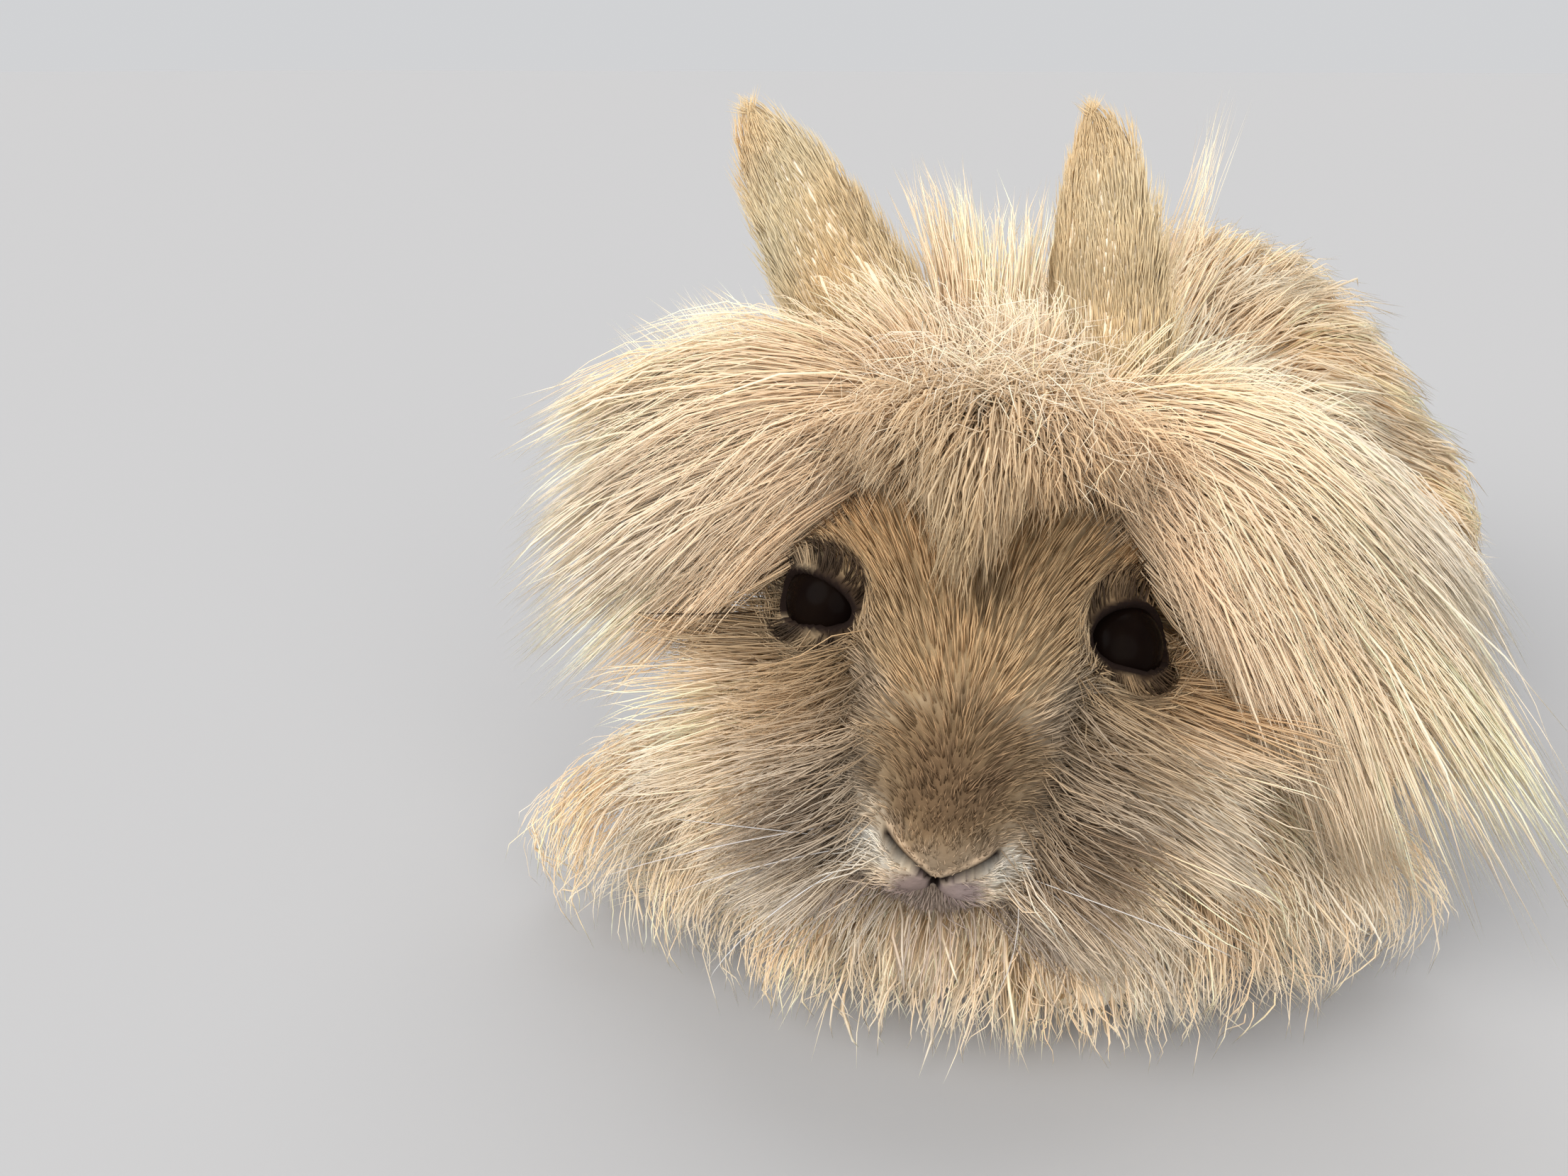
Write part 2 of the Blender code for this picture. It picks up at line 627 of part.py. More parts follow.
def comb_trunk(coat):
    """Locks over the torso and the thighs, each on the node that its root lies in."""
    ways = coat_roots()
    roots = moved_to(0.005, TRUNK_FORMS, TRUNK_BLEND, np.array(TRUNK_MIDDLE) + ways * 0.06)
    on_leg = distance_to(BODY_FORMS, TRUNK_BLEND, roots) < 0.001
    yaw = np.array([coat.draw.uniform(-0.16, 0.16) for _ in roots])
    lengths = np.array([coat.varied(COAT_LENGTH, 0.15) for _ in roots])
    points = roots
    paths, outs = [], []
    stations = 9
    for station in range(stations):
        share = station / (stations - 1)
        height = np.interp(share, COAT_SHARES, COAT_HEIGHTS)
        start = np.where(on_leg, -SUNK, TRUNK_COAT - SUNK)
        fade = max(0, 1 - share / COAT_SHARES[1])
        target = start * fade + np.maximum(height, 0) * (1 - fade)
        points = moved_to(target, BODY_FORMS, TRUNK_BLEND, points)
        points[:, 2] = np.maximum(points[:, 2], FLOOR + 0.0015)
        away = away_from(BODY_FORMS, TRUNK_BLEND, points)
        paths.append(points)
        outs.append(away)
        lie = lie_of_coat(points)
        lie = unit(lie - away * np.sum(lie * away, axis=1)[:, None])
        lie = lie + np.cross(away, lie) * yaw[:, None]
        points = points + lie * (lengths / (stations - 1))[:, None]
    paths = np.array(paths).transpose(1, 0, 2)
    outs = np.array(outs).transpose(1, 0, 2)
    for path, out, leg in zip(paths, outs, on_leg):
        node = "chest" if path[0][1] < CHEST_CUT else "torso"
        if leg:
            node = "hindleg_left" if path[0][0] > 0 else "hindleg_right"
        coat.grow(node, path, out, coat.varied(COAT_WIDTH))


def comb_ruff(coat, ring, spread, lift):
    """One ring of locks that spread over the floor from the chest."""
    middle_x, middle_y = RUFF_MIDDLE
    count, width, stations = ring
    for place in range(count):
        around = spread * ((place + 0.5) / count - 0.5) + coat.draw.uniform(-0.05, 0.05)
        places = []
        for share, height in stations:
            share *= coat.varied(1, 0.02)
            x = middle_x + RUFF_REACH[0] * share * math.sin(around)
            y = middle_y - RUFF_REACH[1] * share * math.cos(around)
            places.append((x, y, height))
        out = (0.45 * math.sin(around), -0.45 * math.cos(around), 1)
        spine = in_world(FRONT_FRAME, smooth_spine(places))
        faces = turned(FRONT_FRAME, [out] * len(spine))
        coat.grow("chest", spine, faces, coat.varied(width), lift=lift)


def comb_mane(coat):
    """Two rings of locks behind the head, the second swept back over the shoulders, and wisps between the ears."""
    middle_x, _, middle_z = MANE_MIDDLE
    for count, width, stations in MANE_RINGS:
        for place in range(count):
            around = MANE_SPREAD * ((place + 0.5) / count - 0.5) + coat.draw.uniform(-0.05, 0.05)
            places = []
            for share, y in stations:
                share *= coat.varied(1, 0.03)
                x = middle_x + MANE_REACH[0] * share * math.sin(around)
                z = middle_z + MANE_REACH[1] * share * math.cos(around)
                places.append((x, y + LAYER * (place % 2), z))
            spine = in_world(HEAD_FRAME, smooth_spine(places))
            faces = turned(HEAD_FRAME, [(0.4 * math.sin(around), -1, 0.4 * math.cos(around))] * len(spine))
            coat.grow("neck", spine, faces, coat.varied(width), lift=-LIFT)
    for places in EAR_GAP_LOCKS:
        spine = in_world(HEAD_FRAME, smooth_spine(places))
        faces = turned(HEAD_FRAME, [(0, -1, 0.4)] * len(spine))
        coat.grow("neck", spine, faces, 0.010)


def comb_head(coat):
    """The crown, cheeks, forelock and the two curtains of hair, as fans of locks from one guide to the next."""
    for guides, count, width in FANS:
        guides = np.array(guides)
        for place in range(count):
            at = (len(guides) - 1) * (place + 0.5) / count
            which = min(int(at), len(guides) - 2)
            share = at - which
            places = guides[which] * (1 - share) + guides[which + 1] * share
            places[0] = moved_to(-SUNK, HEAD_FORMS, HEAD_BLEND, places[:1])[0]
            places[-1] += np.array([coat.draw.uniform(-0.003, 0.003) for _ in range(3)])
            spine = smooth_spine(places)
            away = away_from(HEAD_FORMS, HEAD_BLEND, spine)
            away = unit(away + np.array([0, -0.4, 0.5]))
            spine += away * np.linspace(0, 1, len(spine))[:, None] ** 0.5 * LAYER * (place % 2)
            coat.grow("head", in_world(HEAD_FRAME, spine), turned(HEAD_FRAME, away), coat.varied(width))


def comb_ears(coat):
    """A pointed tuft at each ear's tip, rooted in the wall."""
    for word in SIDES:
        places = []
        for share, reach in ((0.82, 0), (0.93, 0.0005), (1.0, 0.0040)):
            points, opening = ear_section(word, min(share, 0.99), EAR_WALL * 0.35)
            up = (EAR_TIPS[word] - HEAD_CENTRE).normalized()
            places.append(points[EAR_COLUMNS // 2] + up * reach)
        spine = smooth_spine(places)
        coat.grow("ear_" + word, spine, [-opening] * len(spine), 0.007, 0.0014)


def comb_tail(coat):
    """The scut's locks, fanned back and up from its root."""
    centre, radii = TAIL_FORMS[0]
    for place in range(TAIL_LOCKS):
        around = 2 * math.pi * place / TAIL_LOCKS
        ray = np.array([math.sin(around), 0.0, math.cos(around)])
        root = np.array(centre) + ray * (radii[0] - SUNK)
        middle = np.array(centre) + ray * (radii[0] + 0.006) + np.array([0, 0.011, 0.002])
        tip = np.array(centre) + ray * radii[0] * 0.9 + np.array([0, 0.030, 0.004])
        spine = smooth_spine([root, middle, tip])
        faces = [ray + np.array([0, share, 0]) for share in np.linspace(0, 1, len(spine))]
        coat.grow("tail", spine, faces, 0.012, 0.0018)


def build_head():
    """The head's core with lids, nose pad and lower lip joined on, then the sockets and lines cut in."""
    head = head_form("head")
    for word, side in SIDES.items():
        coloured(eye_ball("eye_" + word, side), (0.02, 0.012, 0.008, 1), 0.1)
    raised = [eye_ball("lid", side, LID) for side in SIDES.values()]
    raised.append(ball("nose", NOSE, NOSE_RADII, HEAD_FRAME, Matrix(), 12, 8))
    raised.append(ball("under_lip", UNDER_LIP, UNDER_LIP_RADII, HEAD_FRAME, Matrix(), 10, 6))
    joined(head, raised, "UNION")
    return head


def open_head(head):
    """Cuts the sockets, the slits between the lids, the mouth line and the nostrils."""
    spaces = [groove("cleft", CLEFT)]
    for side in SIDES.values():
        spaces.append(eye_ball("socket", side, GAP))
        spaces.append(eye_slit("slit", side))
        spaces.append(nostril("nostril", side))
        spaces.append(groove("mouth", [(side * x, y, z) for x, y, z in MOUTH]))
    joined(head, spaces, "DIFFERENCE")


def build_ears():
    for word in SIDES:
        ear = ear_form("ear_" + word, word)
        joined(ear, [head_form("head_space", GAP)], "DIFFERENCE")
        coloured(ear, CREAM)


def build_neck():
    neck = neck_form("neck")
    spaces = [head_form("head_space", GAP)]
    spaces += [ear_space("ear_space", word) for word in SIDES]
    coloured(joined(neck, spaces, "DIFFERENCE"), PALE)


def build_legs():
    inward = FRONT_FRAME.to_3x3() @ Vector((-1, 0, 0))
    for word, side in SIDES.items():
        foreleg = grounded(foreleg_form("foreleg_" + word, side))
        trimmed(foreleg, FRONT_FRAME @ Vector((side * GAP / 2, 0, 0)), inward * side)
        coloured(foreleg, CREAM)
        coloured(grounded(hindleg_form("hindleg_" + word, side)), CREAM)


def build_trunk():
    chest = trunk_form("chest")
    torso = grounded(copy_of(chest, "torso"))
    joined(chest, [ruff_form("ruff")], "UNION")
    trimmed(grounded(chest), (0, CHEST_CUT - GAP / 2, 0), (0, 1, 0))
    trimmed(torso, (0, CHEST_CUT + GAP / 2, 0), (0, -1, 0))
    for part in (chest, torso):
        spaces = [hindleg_form("hindleg_space", side, GAP) for side in SIDES.values()]
        spaces += [neck_form("neck_space", GAP)]
        if part == chest:
            spaces += [head_form("head_space", GAP)]
            spaces += [foreleg_form("foreleg_space", side, GAP) for side in SIDES.values()]
        else:
            spaces += [tail_form("tail_space", GAP)]
        coloured(joined(part, spaces, "DIFFERENCE"), CREAM)
    coloured(tail_form("tail"), PALE)


def main():
    for obj in list(bpy.data.objects):
        bpy.data.objects.remove(obj)
    head = build_head()
    build_ears()
    build_neck()
    build_legs()
    build_trunk()
    coat = Coat({obj.name: obj for obj in bpy.context.scene.objects})
    comb_trunk(coat)
    comb_tail(coat)
    comb_ears(coat)
    comb_ruff(coat, BIB_RING, BIB_SPREAD, LIFT)
    comb_head(coat)
    comb_mane(coat)
    for ring in RUFF_RINGS:
        comb_ruff(coat, ring, RUFF_SPREAD, 0)
    coat.fuse()
    open_head(head)
    coloured(head, TAN)


main()
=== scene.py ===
"""Looks of a lionhead rabbit at rest: one skin, eyes and a coat of hairs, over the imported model's frame.

Metres, +Z up, the rabbit faces -Y. The tables of forms, guides and patches are in millimetres. The skin
follows the same forms of flesh as the solids and lies inside them. The coat is thousands of thin,
three-sided, tapered hairs in joined meshes, combed along the lie of the fur.
"""

import math

import bmesh
import bpy
import numpy as np
from mathutils import Matrix, Vector
from mathutils.kdtree import KDTree


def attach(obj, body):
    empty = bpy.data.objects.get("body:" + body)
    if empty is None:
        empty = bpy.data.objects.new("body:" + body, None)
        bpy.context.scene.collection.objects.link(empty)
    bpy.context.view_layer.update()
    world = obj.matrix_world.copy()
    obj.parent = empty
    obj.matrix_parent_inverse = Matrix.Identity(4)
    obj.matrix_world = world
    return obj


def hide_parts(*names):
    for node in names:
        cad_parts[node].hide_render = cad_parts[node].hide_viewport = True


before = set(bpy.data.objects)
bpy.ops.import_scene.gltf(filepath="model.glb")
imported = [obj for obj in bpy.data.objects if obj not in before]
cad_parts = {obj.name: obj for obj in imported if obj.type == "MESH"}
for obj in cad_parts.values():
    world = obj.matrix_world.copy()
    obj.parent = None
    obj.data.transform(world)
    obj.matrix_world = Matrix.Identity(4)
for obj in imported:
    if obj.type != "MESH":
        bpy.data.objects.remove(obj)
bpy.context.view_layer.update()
DRAW = np.random.default_rng(11)

# The camera at the photograph's viewing angle
CAMERA_PLACE = Vector((0.0427, -0.2898, 0.166))
CAMERA_TURN = math.radians(25.8)
CAMERA_DOWN = math.radians(24.0)
CAMERA_LENS = 27
FLOOR = 0.0

# The skin and the hairs stay this far over the floor
SKIN_LIFT = 0.0004
HAIR_LIFT = 0.0006

# The head, and the frame of the ruff and forelegs, which face the way it does
HEAD_TURN = math.radians(14)
HEAD_PITCH = math.radians(19)
HEAD_TILT = math.radians(6)
HEAD_CENTRE = Vector((-0.0132, -0.0931, 0.0753))
HEAD_MIDDLE = np.array((0, -0.01, 0.001))
HEAD_BLEND = 0.007
HEAD_FUR = 0.0016
FRONT_PLACE = Vector((-0.025, 0, 0))
HEAD_FRAME = (
    Matrix.Translation(HEAD_CENTRE)
    @ Matrix.Rotation(HEAD_TURN, 4, "Z")
    @ Matrix.Rotation(HEAD_PITCH, 4, "X")
    @ Matrix.Rotation(HEAD_TILT, 4, "Y")
)
FRONT_FRAME = Matrix.Translation(FRONT_PLACE) @ Matrix.Rotation(HEAD_TURN, 4, "Z")
WORLD_FRAME = Matrix()

# The eyes and the opening between their lids, in the head's frame
EYE_RADIUS = 0.0085
EYE_PLACE = np.array((0.024, -0.0165, 0.008))
SLIT_LOOK = np.array((0.54, -0.47, 0.7))
SLIT_LONG = np.array((0.8, 0.5, -0.3))
LID = 0.0012
SLIT_REACH = 0.0088
SLIT_RADII = {1: (0.01, 0.0054, 0.008), -1: (0.0096, 0.004, 0.008)}
SLIT_RAISE = {1: 0.0013, -1: -0.0016}
# The short fur turns away from an eye's opening this near, the long hair stays this far off, and so do roots
EYE_CLEAR = 0.006
HAIR_CLEAR = 0.001
ROOT_CLEAR = 0.0005

# The nose, nostrils, lips, chin, cleft and mouth, in the head's frame
NOSE = np.array((0, -0.056, -0.0035))
NOSE_RADII = (0.0088, 0.0037, 0.0054)
NOSE_BLEND = 0.0025
PHILTRUM = np.array((0, -0.06, -0.0105))
BRIDGE = np.array((0, -0.048, 0.006))
NOSTRIL = np.array((0.0052, -0.058, -0.0036))
NOSTRIL_LONG = np.array((1.0, 0.42, 0.58))
NOSTRIL_FACE = np.array((0.0, -0.81, 0.587))
NOSTRIL_RADII = (0.0064, 0.0026, 0.0007)
LIP_PLACE = np.array((0.0046, -0.0542, -0.0098))
LIP_RADII = (0.0054, 0.005, 0.0042)
LIP_BLEND = 0.002
LID_BLEND = 0.003
CHIN_BLEND = 0.003
CHIN = ((0, -0.0445, -0.0195), (0.012, 0.0095, 0.008))
CLEFT = ((0, -0.059, -0.0092), (0.0006, 0.0034, 0.0034))
MOUTH = ((0, -0.056, -0.0126), (0.0085, 0.007, 0.0008))
MOUTH_FALL = 0.3
OPENING_EDGES = (0.0008, 0.0006, 0.0008, 0.0006, 0.0008, 0.0006)

# The ears, as in the solids, and the levels where the long hair is kept off their walls
EAR_ROOT = Vector((0.016, 0.018, 0.025))
EAR_TIPS = {"left": Vector((-0.0085, -0.044, 0.156)), "right": Vector((-0.072, -0.066, 0.156))}
EAR_OPENING = {"left": Vector((0.3, 0.95, 0.0)), "right": Vector((-0.45, 0.88, 0.0))}
EAR_WIDTH = 0.034
EAR_CURL = math.radians(62)
EAR_WALL = 0.0022
EAR_CLEAR = 0.0035
EAR_LEVELS = np.linspace(0.32, 0.96, 12)
SIDES = {"left": 1, "right": -1}


def metres(rows):
    """Places or sizes given in millimetres."""
    return np.array(rows) / 1000


def ellipsoids(rows, twice=()):
    """Ellipsoids as (centre, radii) from rows of six millimetres, the second list on both sides."""
    both = [(side * x, *rest) for x, *rest in twice for side in SIDES.values()]
    return [(row[:3], row[3:]) for row in metres([*rows, *both])]


def mirrored(forms, side):
    return [(centre * (side, 1, 1), radii) for centre, radii in forms]


HEAD_FORMS = ellipsoids(
    [
        (0, 6, 6, 29, 33, 28),
        (0, -20, 2, 22, 30, 24),
        (0, -34, -1, 16.5, 20, 16.5),
        (0, -42, -7, 16, 16.5, 15.5),
        (0, -31, -18, 13, 18, 11),
    ],
    [(9.5, -44, -11, 10, 12, 9.5), (15.5, -10, -12, 18, 25, 20), (19, -13, 10, 10, 14, 10.5)],
)
NECK_FORMS = ellipsoids([(-3, 30, -8, 34, 24, 28)])
TRUNK_FORMS = ellipsoids([(0, 4, 55, 52, 60, 50), (0, 52, 58, 60, 68, 58)], [(34, 48, 38, 28, 46, 36)])
THROAT_FORMS = ellipsoids([(-4, -60, 16, 44, 36, 26)])
FORELEG_FORMS = ellipsoids([(14.5, -86, 14, 13, 42, 13), (14.5, -106, 9.5, 12.2, 13, 9.2)])
HINDLEG_FORMS = ellipsoids([(58, 50, 36, 22, 42, 34), (60, 18, 12, 15, 38, 12.5)])
TAIL_FORMS = ellipsoids([(0, 131, 46, 10, 14, 16)])
BODY_FORMS = TRUNK_FORMS + mirrored(HINDLEG_FORMS, 1) + mirrored(HINDLEG_FORMS, -1)
TRUNK_MIDDLE = np.array((0, 0.03, 0.05))
FORELEG_MIDDLE = np.array((0.015, -0.094, 0.013))
HINDLEG_MIDDLE = np.array((0.058, 0.036, 0.02))
TRUNK_BLEND = 0.02
PART_BLEND = 0.01

# The ruff, the bib over the paws and the mane, as rings of guides: (share of the reach, height), root to tip
RUFF_MIDDLE = (-0.004, -0.06)
RUFF_REACH = (0.105, 0.074)
RUFF_SPREAD = math.radians(250)
RUFF_SHARES = (
    (-125, -100, -80, -66, -52, -36, -15, 5, 20, 35, 60, 100),
    (0.82, 0.76, 0.76, 0.88, 1.1, 1.01, 1.09, 1.04, 0.98, 0.91, 0.9, 0.94),
)
RUFF_RINGS = np.array([
    ((0.5, 0.006), (0.78, 0.007), (1.0, 0.001)),
    ((0.45, 0.017), (0.74, 0.02), (0.99, 0.004)),
    ((0.36, 0.028), (0.64, 0.031), (0.94, 0.006)),
    ((0.22, 0.036), (0.46, 0.041), (0.78, 0.022)),
])
BIB_SPREAD = math.radians(124)
BIB_RINGS = np.array([
    ((0.54, 0.026), (1.03, 0.024), (1.0, 0.001)),
    ((0.47, 0.031), (0.99, 0.035), (1.04, 0.004)),
    ((0.36, 0.034), (0.84, 0.041), (1.02, 0.018)),
    ((0.24, 0.037), (0.63, 0.045), (0.92, 0.033)),
])
MANE_MIDDLE = (-0.003, 0.0)
MANE_REACH = (0.088, 0.053)
MANE_SPREAD = math.radians(262)
MANE_DIP = 0.34
MANE_DIP_SPREAD = 0.75
MANE_RINGS = np.array([
    ((0.34, 0.006), (0.6, 0.006), (0.88, 0.012)),
    ((0.36, 0.016), (0.66, 0.017), (1.0, 0.028)),
    ((0.36, 0.028), (0.66, 0.033), (0.98, 0.048)),
    ((0.34, 0.038), (0.6, 0.045), (0.84, 0.066)),
])

# The head's long hair as one sweep of guides round the whorl of the crown, from right to left, in its frame
SWEEP = metres([
    [(-13, 26, 34), (-40, 25, 40), (-62, 18, 36), (-86, 6, 22)],
    [(-14, 24, 35), (-42, 16, 39), (-66, 6, 30), (-90, -4, 12)],
    [(-14, 22, 36), (-40, 8, 37), (-62, -6, 22), (-84, -18, 0)],
    [(-13, 21, 36), (-35, 2, 35), (-54, -13, 15), (-77, -29, -10)],
    [(-12, 20, 37), (-29, 1, 34), (-46, -15, 11), (-64, -32, -11)],
    [(-10, 20, 37), (-21, 9, 39), (-28, 3, 34), (-32, -2, 27)],
    [(-8, 20, 37), (-15, 8, 41), (-19, 0, 38), (-21, -8, 32)],
    [(-6, 20, 37), (-9, 5, 42), (-10, -8, 40), (-10, -18, 34)],
    [(-3, 20, 37), (-3, -1, 43), (-3, -20, 39), (-3, -34, 29)],
    [(0, 20, 37), (3, 4, 43), (5, -8, 41), (6, -18, 36)],
    [(4, 20, 37), (10, 9, 42), (14, 3, 40), (17, -3, 36)],
    [(7, 20, 37), (17, 10, 41), (24, 6, 39), (29, 2, 32)],
    [(9, 20, 37), (29, 4, 36), (46, -15, 12), (65, -31, -18)],
    [(11, 21, 37), (36, 5, 38), (60, -13, 14), (86, -36, -35)],
    [(12, 22, 36), (42, 9, 39), (74, -7, 14), (115, -30, -28)],
    [(12, 23, 36), (40, 16, 43), (71, 4, 28), (104, -8, -8)],
    [(12, 25, 35), (36, 23, 44), (62, 16, 37), (88, 6, 14)],
])

# The share of golden tips at each guide of the sweep
FRINGE_GOLD = (0, 0, 0, 0, 0.15, 0.5, 0.65, 0.8, 0.9, 0.8, 0.65, 0.5, 0.15, 0, 0, 0, 0)

# Guides of the crown, the gap between the ears, the wisps, the temples, the muzzle and the cheeks
CROWN = metres([
    [(-20, 16, 27), (-36, 20, 36), (-54, 24, 34)],
    [(-12, 17, 33), (-22, 23, 41), (-35, 31, 41)],
    [(0, 18, 35), (-4, 26, 43), (-10, 36, 44)],
    [(12, 17, 33), (16, 25, 42), (22, 34, 43)],
    [(24, 17, 27), (36, 24, 38), (50, 34, 40)],
])
EAR_GAP = metres([
    [(-15, 26, 26), (-20, 42, 40), (-33, 60, 46)],
    [(-10, 28, 27), (-12, 46, 42), (-22, 70, 54)],
    [(-4, 28, 27), (-5, 44, 40), (-8, 58, 46)],
    [(3, 28, 27), (4, 48, 44), (4, 68, 54)],
    [(12, 28, 27), (13, 44, 40), (15, 58, 45)],
])
WISP = metres([
    [(20, 30, 24), (27, 56, 46), (31, 86, 60)],
    [(26, 30, 22), (35, 58, 44), (43, 96, 64)],
])
TEMPLE = metres([
    [(20, 6, 18), (42, 12, 13), (66, 10, 3)],
    [(22, 2, 8), (45, 6, 4), (70, 0, -6)],
])
MUZZLE = metres([
    [(13, -24, 12), (26, -29, 10), (42, -30, 5)],
    [(12, -34, 6), (25, -41, 1), (41, -43, -7)],
    [(11, -44, -1), (22, -50, -7), (37, -52, -18)],
    [(10, -47, -8), (18, -56, -15), (29, -57, -28)],
    [(11, -46, -14), (19, -54, -21), (27, -56, -34)],
])
CHEEK = metres([
    [(24, -14, 0), (41, -18, 4), (60, -18, 1)],
    [(24, -22, -2), (41, -28, -2), (60, -31, -8)],
    [(21, -30, -8), (37, -39, -12), (54, -44, -21)],
    [(15, -36, -14), (27, -47, -21), (41, -52, -34)],
    [(13, -38, -21), (22, -47, -31), (29, -50, -44)],
])
WHISKER_ROOTS = metres([(13, -50, -8), (10.5, -52, -11.5)])
WHISKER_ENDS = metres([(54, -60, -18), (48, -58, -34), (36, -56, -48), (20, -56, -54)])

# Where the loose curls of the crown grow
CURL_MIDDLE = (-0.002, 0.014, 0.037)
CURL_SPREAD = (0.014, 0.006, 0)

# How far the body's coat stands off at shares of a hair's length
BODY_RISE = ((0, 0.12, 0.35, 0.6, 1), (0.0, 0.0045, 0.0075, 0.0098, 0.013))

# The lengths and lift of the face's fur at distances from the nose
FACE_LENGTHS = ((0.004, 0.012, 0.03, 0.055), (0.0014, 0.0028, 0.0072, 0.011))
FACE_RISE = ((0.0, 0.012, 0.05), (0.0007, 0.0019, 0.0036))
FACE_WIDTHS = ((0.004, 0.03), (0.00022, 0.00032))

# Patches of colour on the head: (centre, radii, softness of the edge, strength)
GOLDEN_PATCHES = (
    ((0, -22, 24), (24, 30, 18), 0.3, 1),
    ((18, -18, 16), (13, 15, 10), 0.4, 1),
    ((22.5, -30.5, 6), (10, 10, 9), 0.5, 0.75),
    ((0, -44, 6), (13.5, 18, 12), 0.35, 1),
)
SOOT_AND_SHADE_PATCHES = (
    ((0, -50, 6), (10, 11, 8.5), 0.5, 1),
    ((0, -57, 0), (11, 8, 7), 0.3, 0.75),
    ((0, -49, 11), (16, 8.2, 10), 0.35, 0.66),
    ((16.5, -40, 11), (5.2, 8.5, 6), 0.5, 0.66),
    ((12, -48, 2), (7, 12, 3), 0.8, 0.75),
    ((16, -47, -6), (10, 11, 4.8), 0.6, 0.8),
    # Painted shade: darkens the muzzle's hair that hangs over the chin
    ((10, -46, -13), (8, 10, 3), 0.6, 0.45),
)
PALE_PATCHES = [((9.2, -54.5, -6.2), (4.2, 6, 2.7), 0.4, 1)]
LIP_PATCHES = (
    ((0, -58.5, -9.8), (6.6, 6, 3.8), 0.3, 1),
    ((0, -50, -20), (14, 11, 9), 0.4, 0.7),
)
# Painted shadow: a dark patch under the point of the forelock, mixed into the shade marking
FORELOCK_SHADOW_PATCHES = [((0, -29, 26.2), (4.8, 3.4, 5), 0.6, 0.7)]

# The colours round the eyes' openings: golden fur, sooty brown that is partly painted shade of the recess,
# and painted shade at the rim: (strength, where the fade starts, how far it goes), in metres
EYE_GOLDEN = (0.9, 0.00496, 0.0062)
EYE_BROWN_AND_SHADE = (0.85, 0.0012, 0.004)
EYE_SHADE = (0.9, 0.0008, 0.0024)

# How far the dark line, the lids' own dark rim with painted shade, runs out over the lids
EYE_LINE = 0.0008

# Patches of fur on the head: thicker on the chin, none on the lips, and long and loose on the cheeks
CHIN_PATCHES = [((0, -48, -20), (13, 10, 9), 0.3, 0.25)]
BARE_PATCHES = [((0, -59, -8.6), (4.4, 6, 3), 0.12, 1)]
CHEEK_PATCHES = [((26, -24, -14), (18, 28, 18), 0.5, 1)]

# Colours of the coat at the (roots, tips), with those of the markings; the darker roots are partly painted
# shade deep in the coat
CREAM = ((0.9, 0.742, 0.535), (0.97, 0.88, 0.74))
PEACH = ((0.9, 0.73, 0.51), (0.97, 0.88, 0.72))
OLIVE = ((0.7, 0.55, 0.33), (0.82, 0.69, 0.46))
EAR_TIP = ((0.8, 0.65, 0.41), (0.9, 0.78, 0.56))
GOLDEN = ((0.55, 0.38, 0.205), (0.71, 0.53, 0.315))
SHADE = ((0.03, 0.017, 0.01), (0.085, 0.05, 0.03))
# Sooty brown of the nose and muzzle, also laid on as painted shade round the eyes and over the chin
SOOT_AND_SHADE = ((0.215, 0.136, 0.076), (0.345, 0.237, 0.143))
PALE = ((0.78, 0.7, 0.58), (0.94, 0.9, 0.82))
LIP = ((0.3, 0.23, 0.215), (0.42, 0.33, 0.31))
WHITE = ((0.9, 0.88, 0.85), (0.95, 0.94, 0.92))

# How light the skin is against the coat: darkened under the fur as painted shade at the roots of the hair,
# and less where it is bare
UNDER_FUR_SHADE = 0.42
BARE_SKIN = 0.75

# The pale rim above the nostrils, and the dark lines of the openings: painted shade in the nostrils, the
# cleft and the mouth, and round the eyes the lids' own dark rims with painted shade
RIM_COLOUR = (0.46, 0.34, 0.23)
RIM_STRENGTH = 0.8
RIM_PLACE = 0.0011
RIM_WIDTH = 0.0007
LINE_AND_SHADE_COLOUR = (0.008, 0.0045, 0.0035)
LINE_FADE = 0.0008

# The eyes, the floor and the light
EYE_COLOURS = ((0.002, 0.001, 0.001, 1), (0.005, 0.003, 0.002, 1))
FLOOR_COLOUR = (0.315, 0.315, 0.32, 1)
SKY_COLOUR = (0.97, 0.98, 1.0, 1)
SKY_STRENGTH = 0.66
# Soft lights: (place, angle in degrees, strength, colour), all turned to the rabbit
LIGHT_TARGET = Vector((0, -0.05, 0.06))
LIGHTS = (
    ((-0.45, -0.8, 0.68), 50, 3.8, (1.0, 0.98, 0.95)),
    ((0.6, -0.75, 0.46), 60, 2.4, (1.0, 0.98, 0.95)),
    ((-0.1, 0.4, 0.9), 50, 1.5, (1.0, 1.0, 1.0)),
)

# The deepest a root is set below its guide, and the most triangles in a piece of the coat
DEEPEST = 0.01
HAIR_LIMIT = 195000

# The gap at the edges of the two islands that the coat is unwrapped to
UV_EDGE = 0.005


def unit(vectors):
    return vectors / np.maximum(np.linalg.norm(vectors, axis=-1, keepdims=True), 1e-9)


def smoothly(values):
    values = np.clip(values, 0, 1)
    return values * values * (3 - 2 * values)


def fading(distances, strength, start, fade):
    """The strength up to a start, and then less and less over the fade."""
    return strength * smoothly(1 - (distances - start) / fade)


def flat_to(away, vectors):
    """The unit part of vectors at right angles to the unit ways."""
    return unit(vectors - away * np.sum(vectors * away, axis=-1, keepdims=True))


def one_distance(points, centre, radii):
    offset = points - np.array(centre)
    near = np.linalg.norm(offset / np.array(radii), axis=1)
    steep = np.linalg.norm(offset / np.array(radii) ** 2, axis=1)
    return near * (near - 1) / np.maximum(steep, 1e-6)


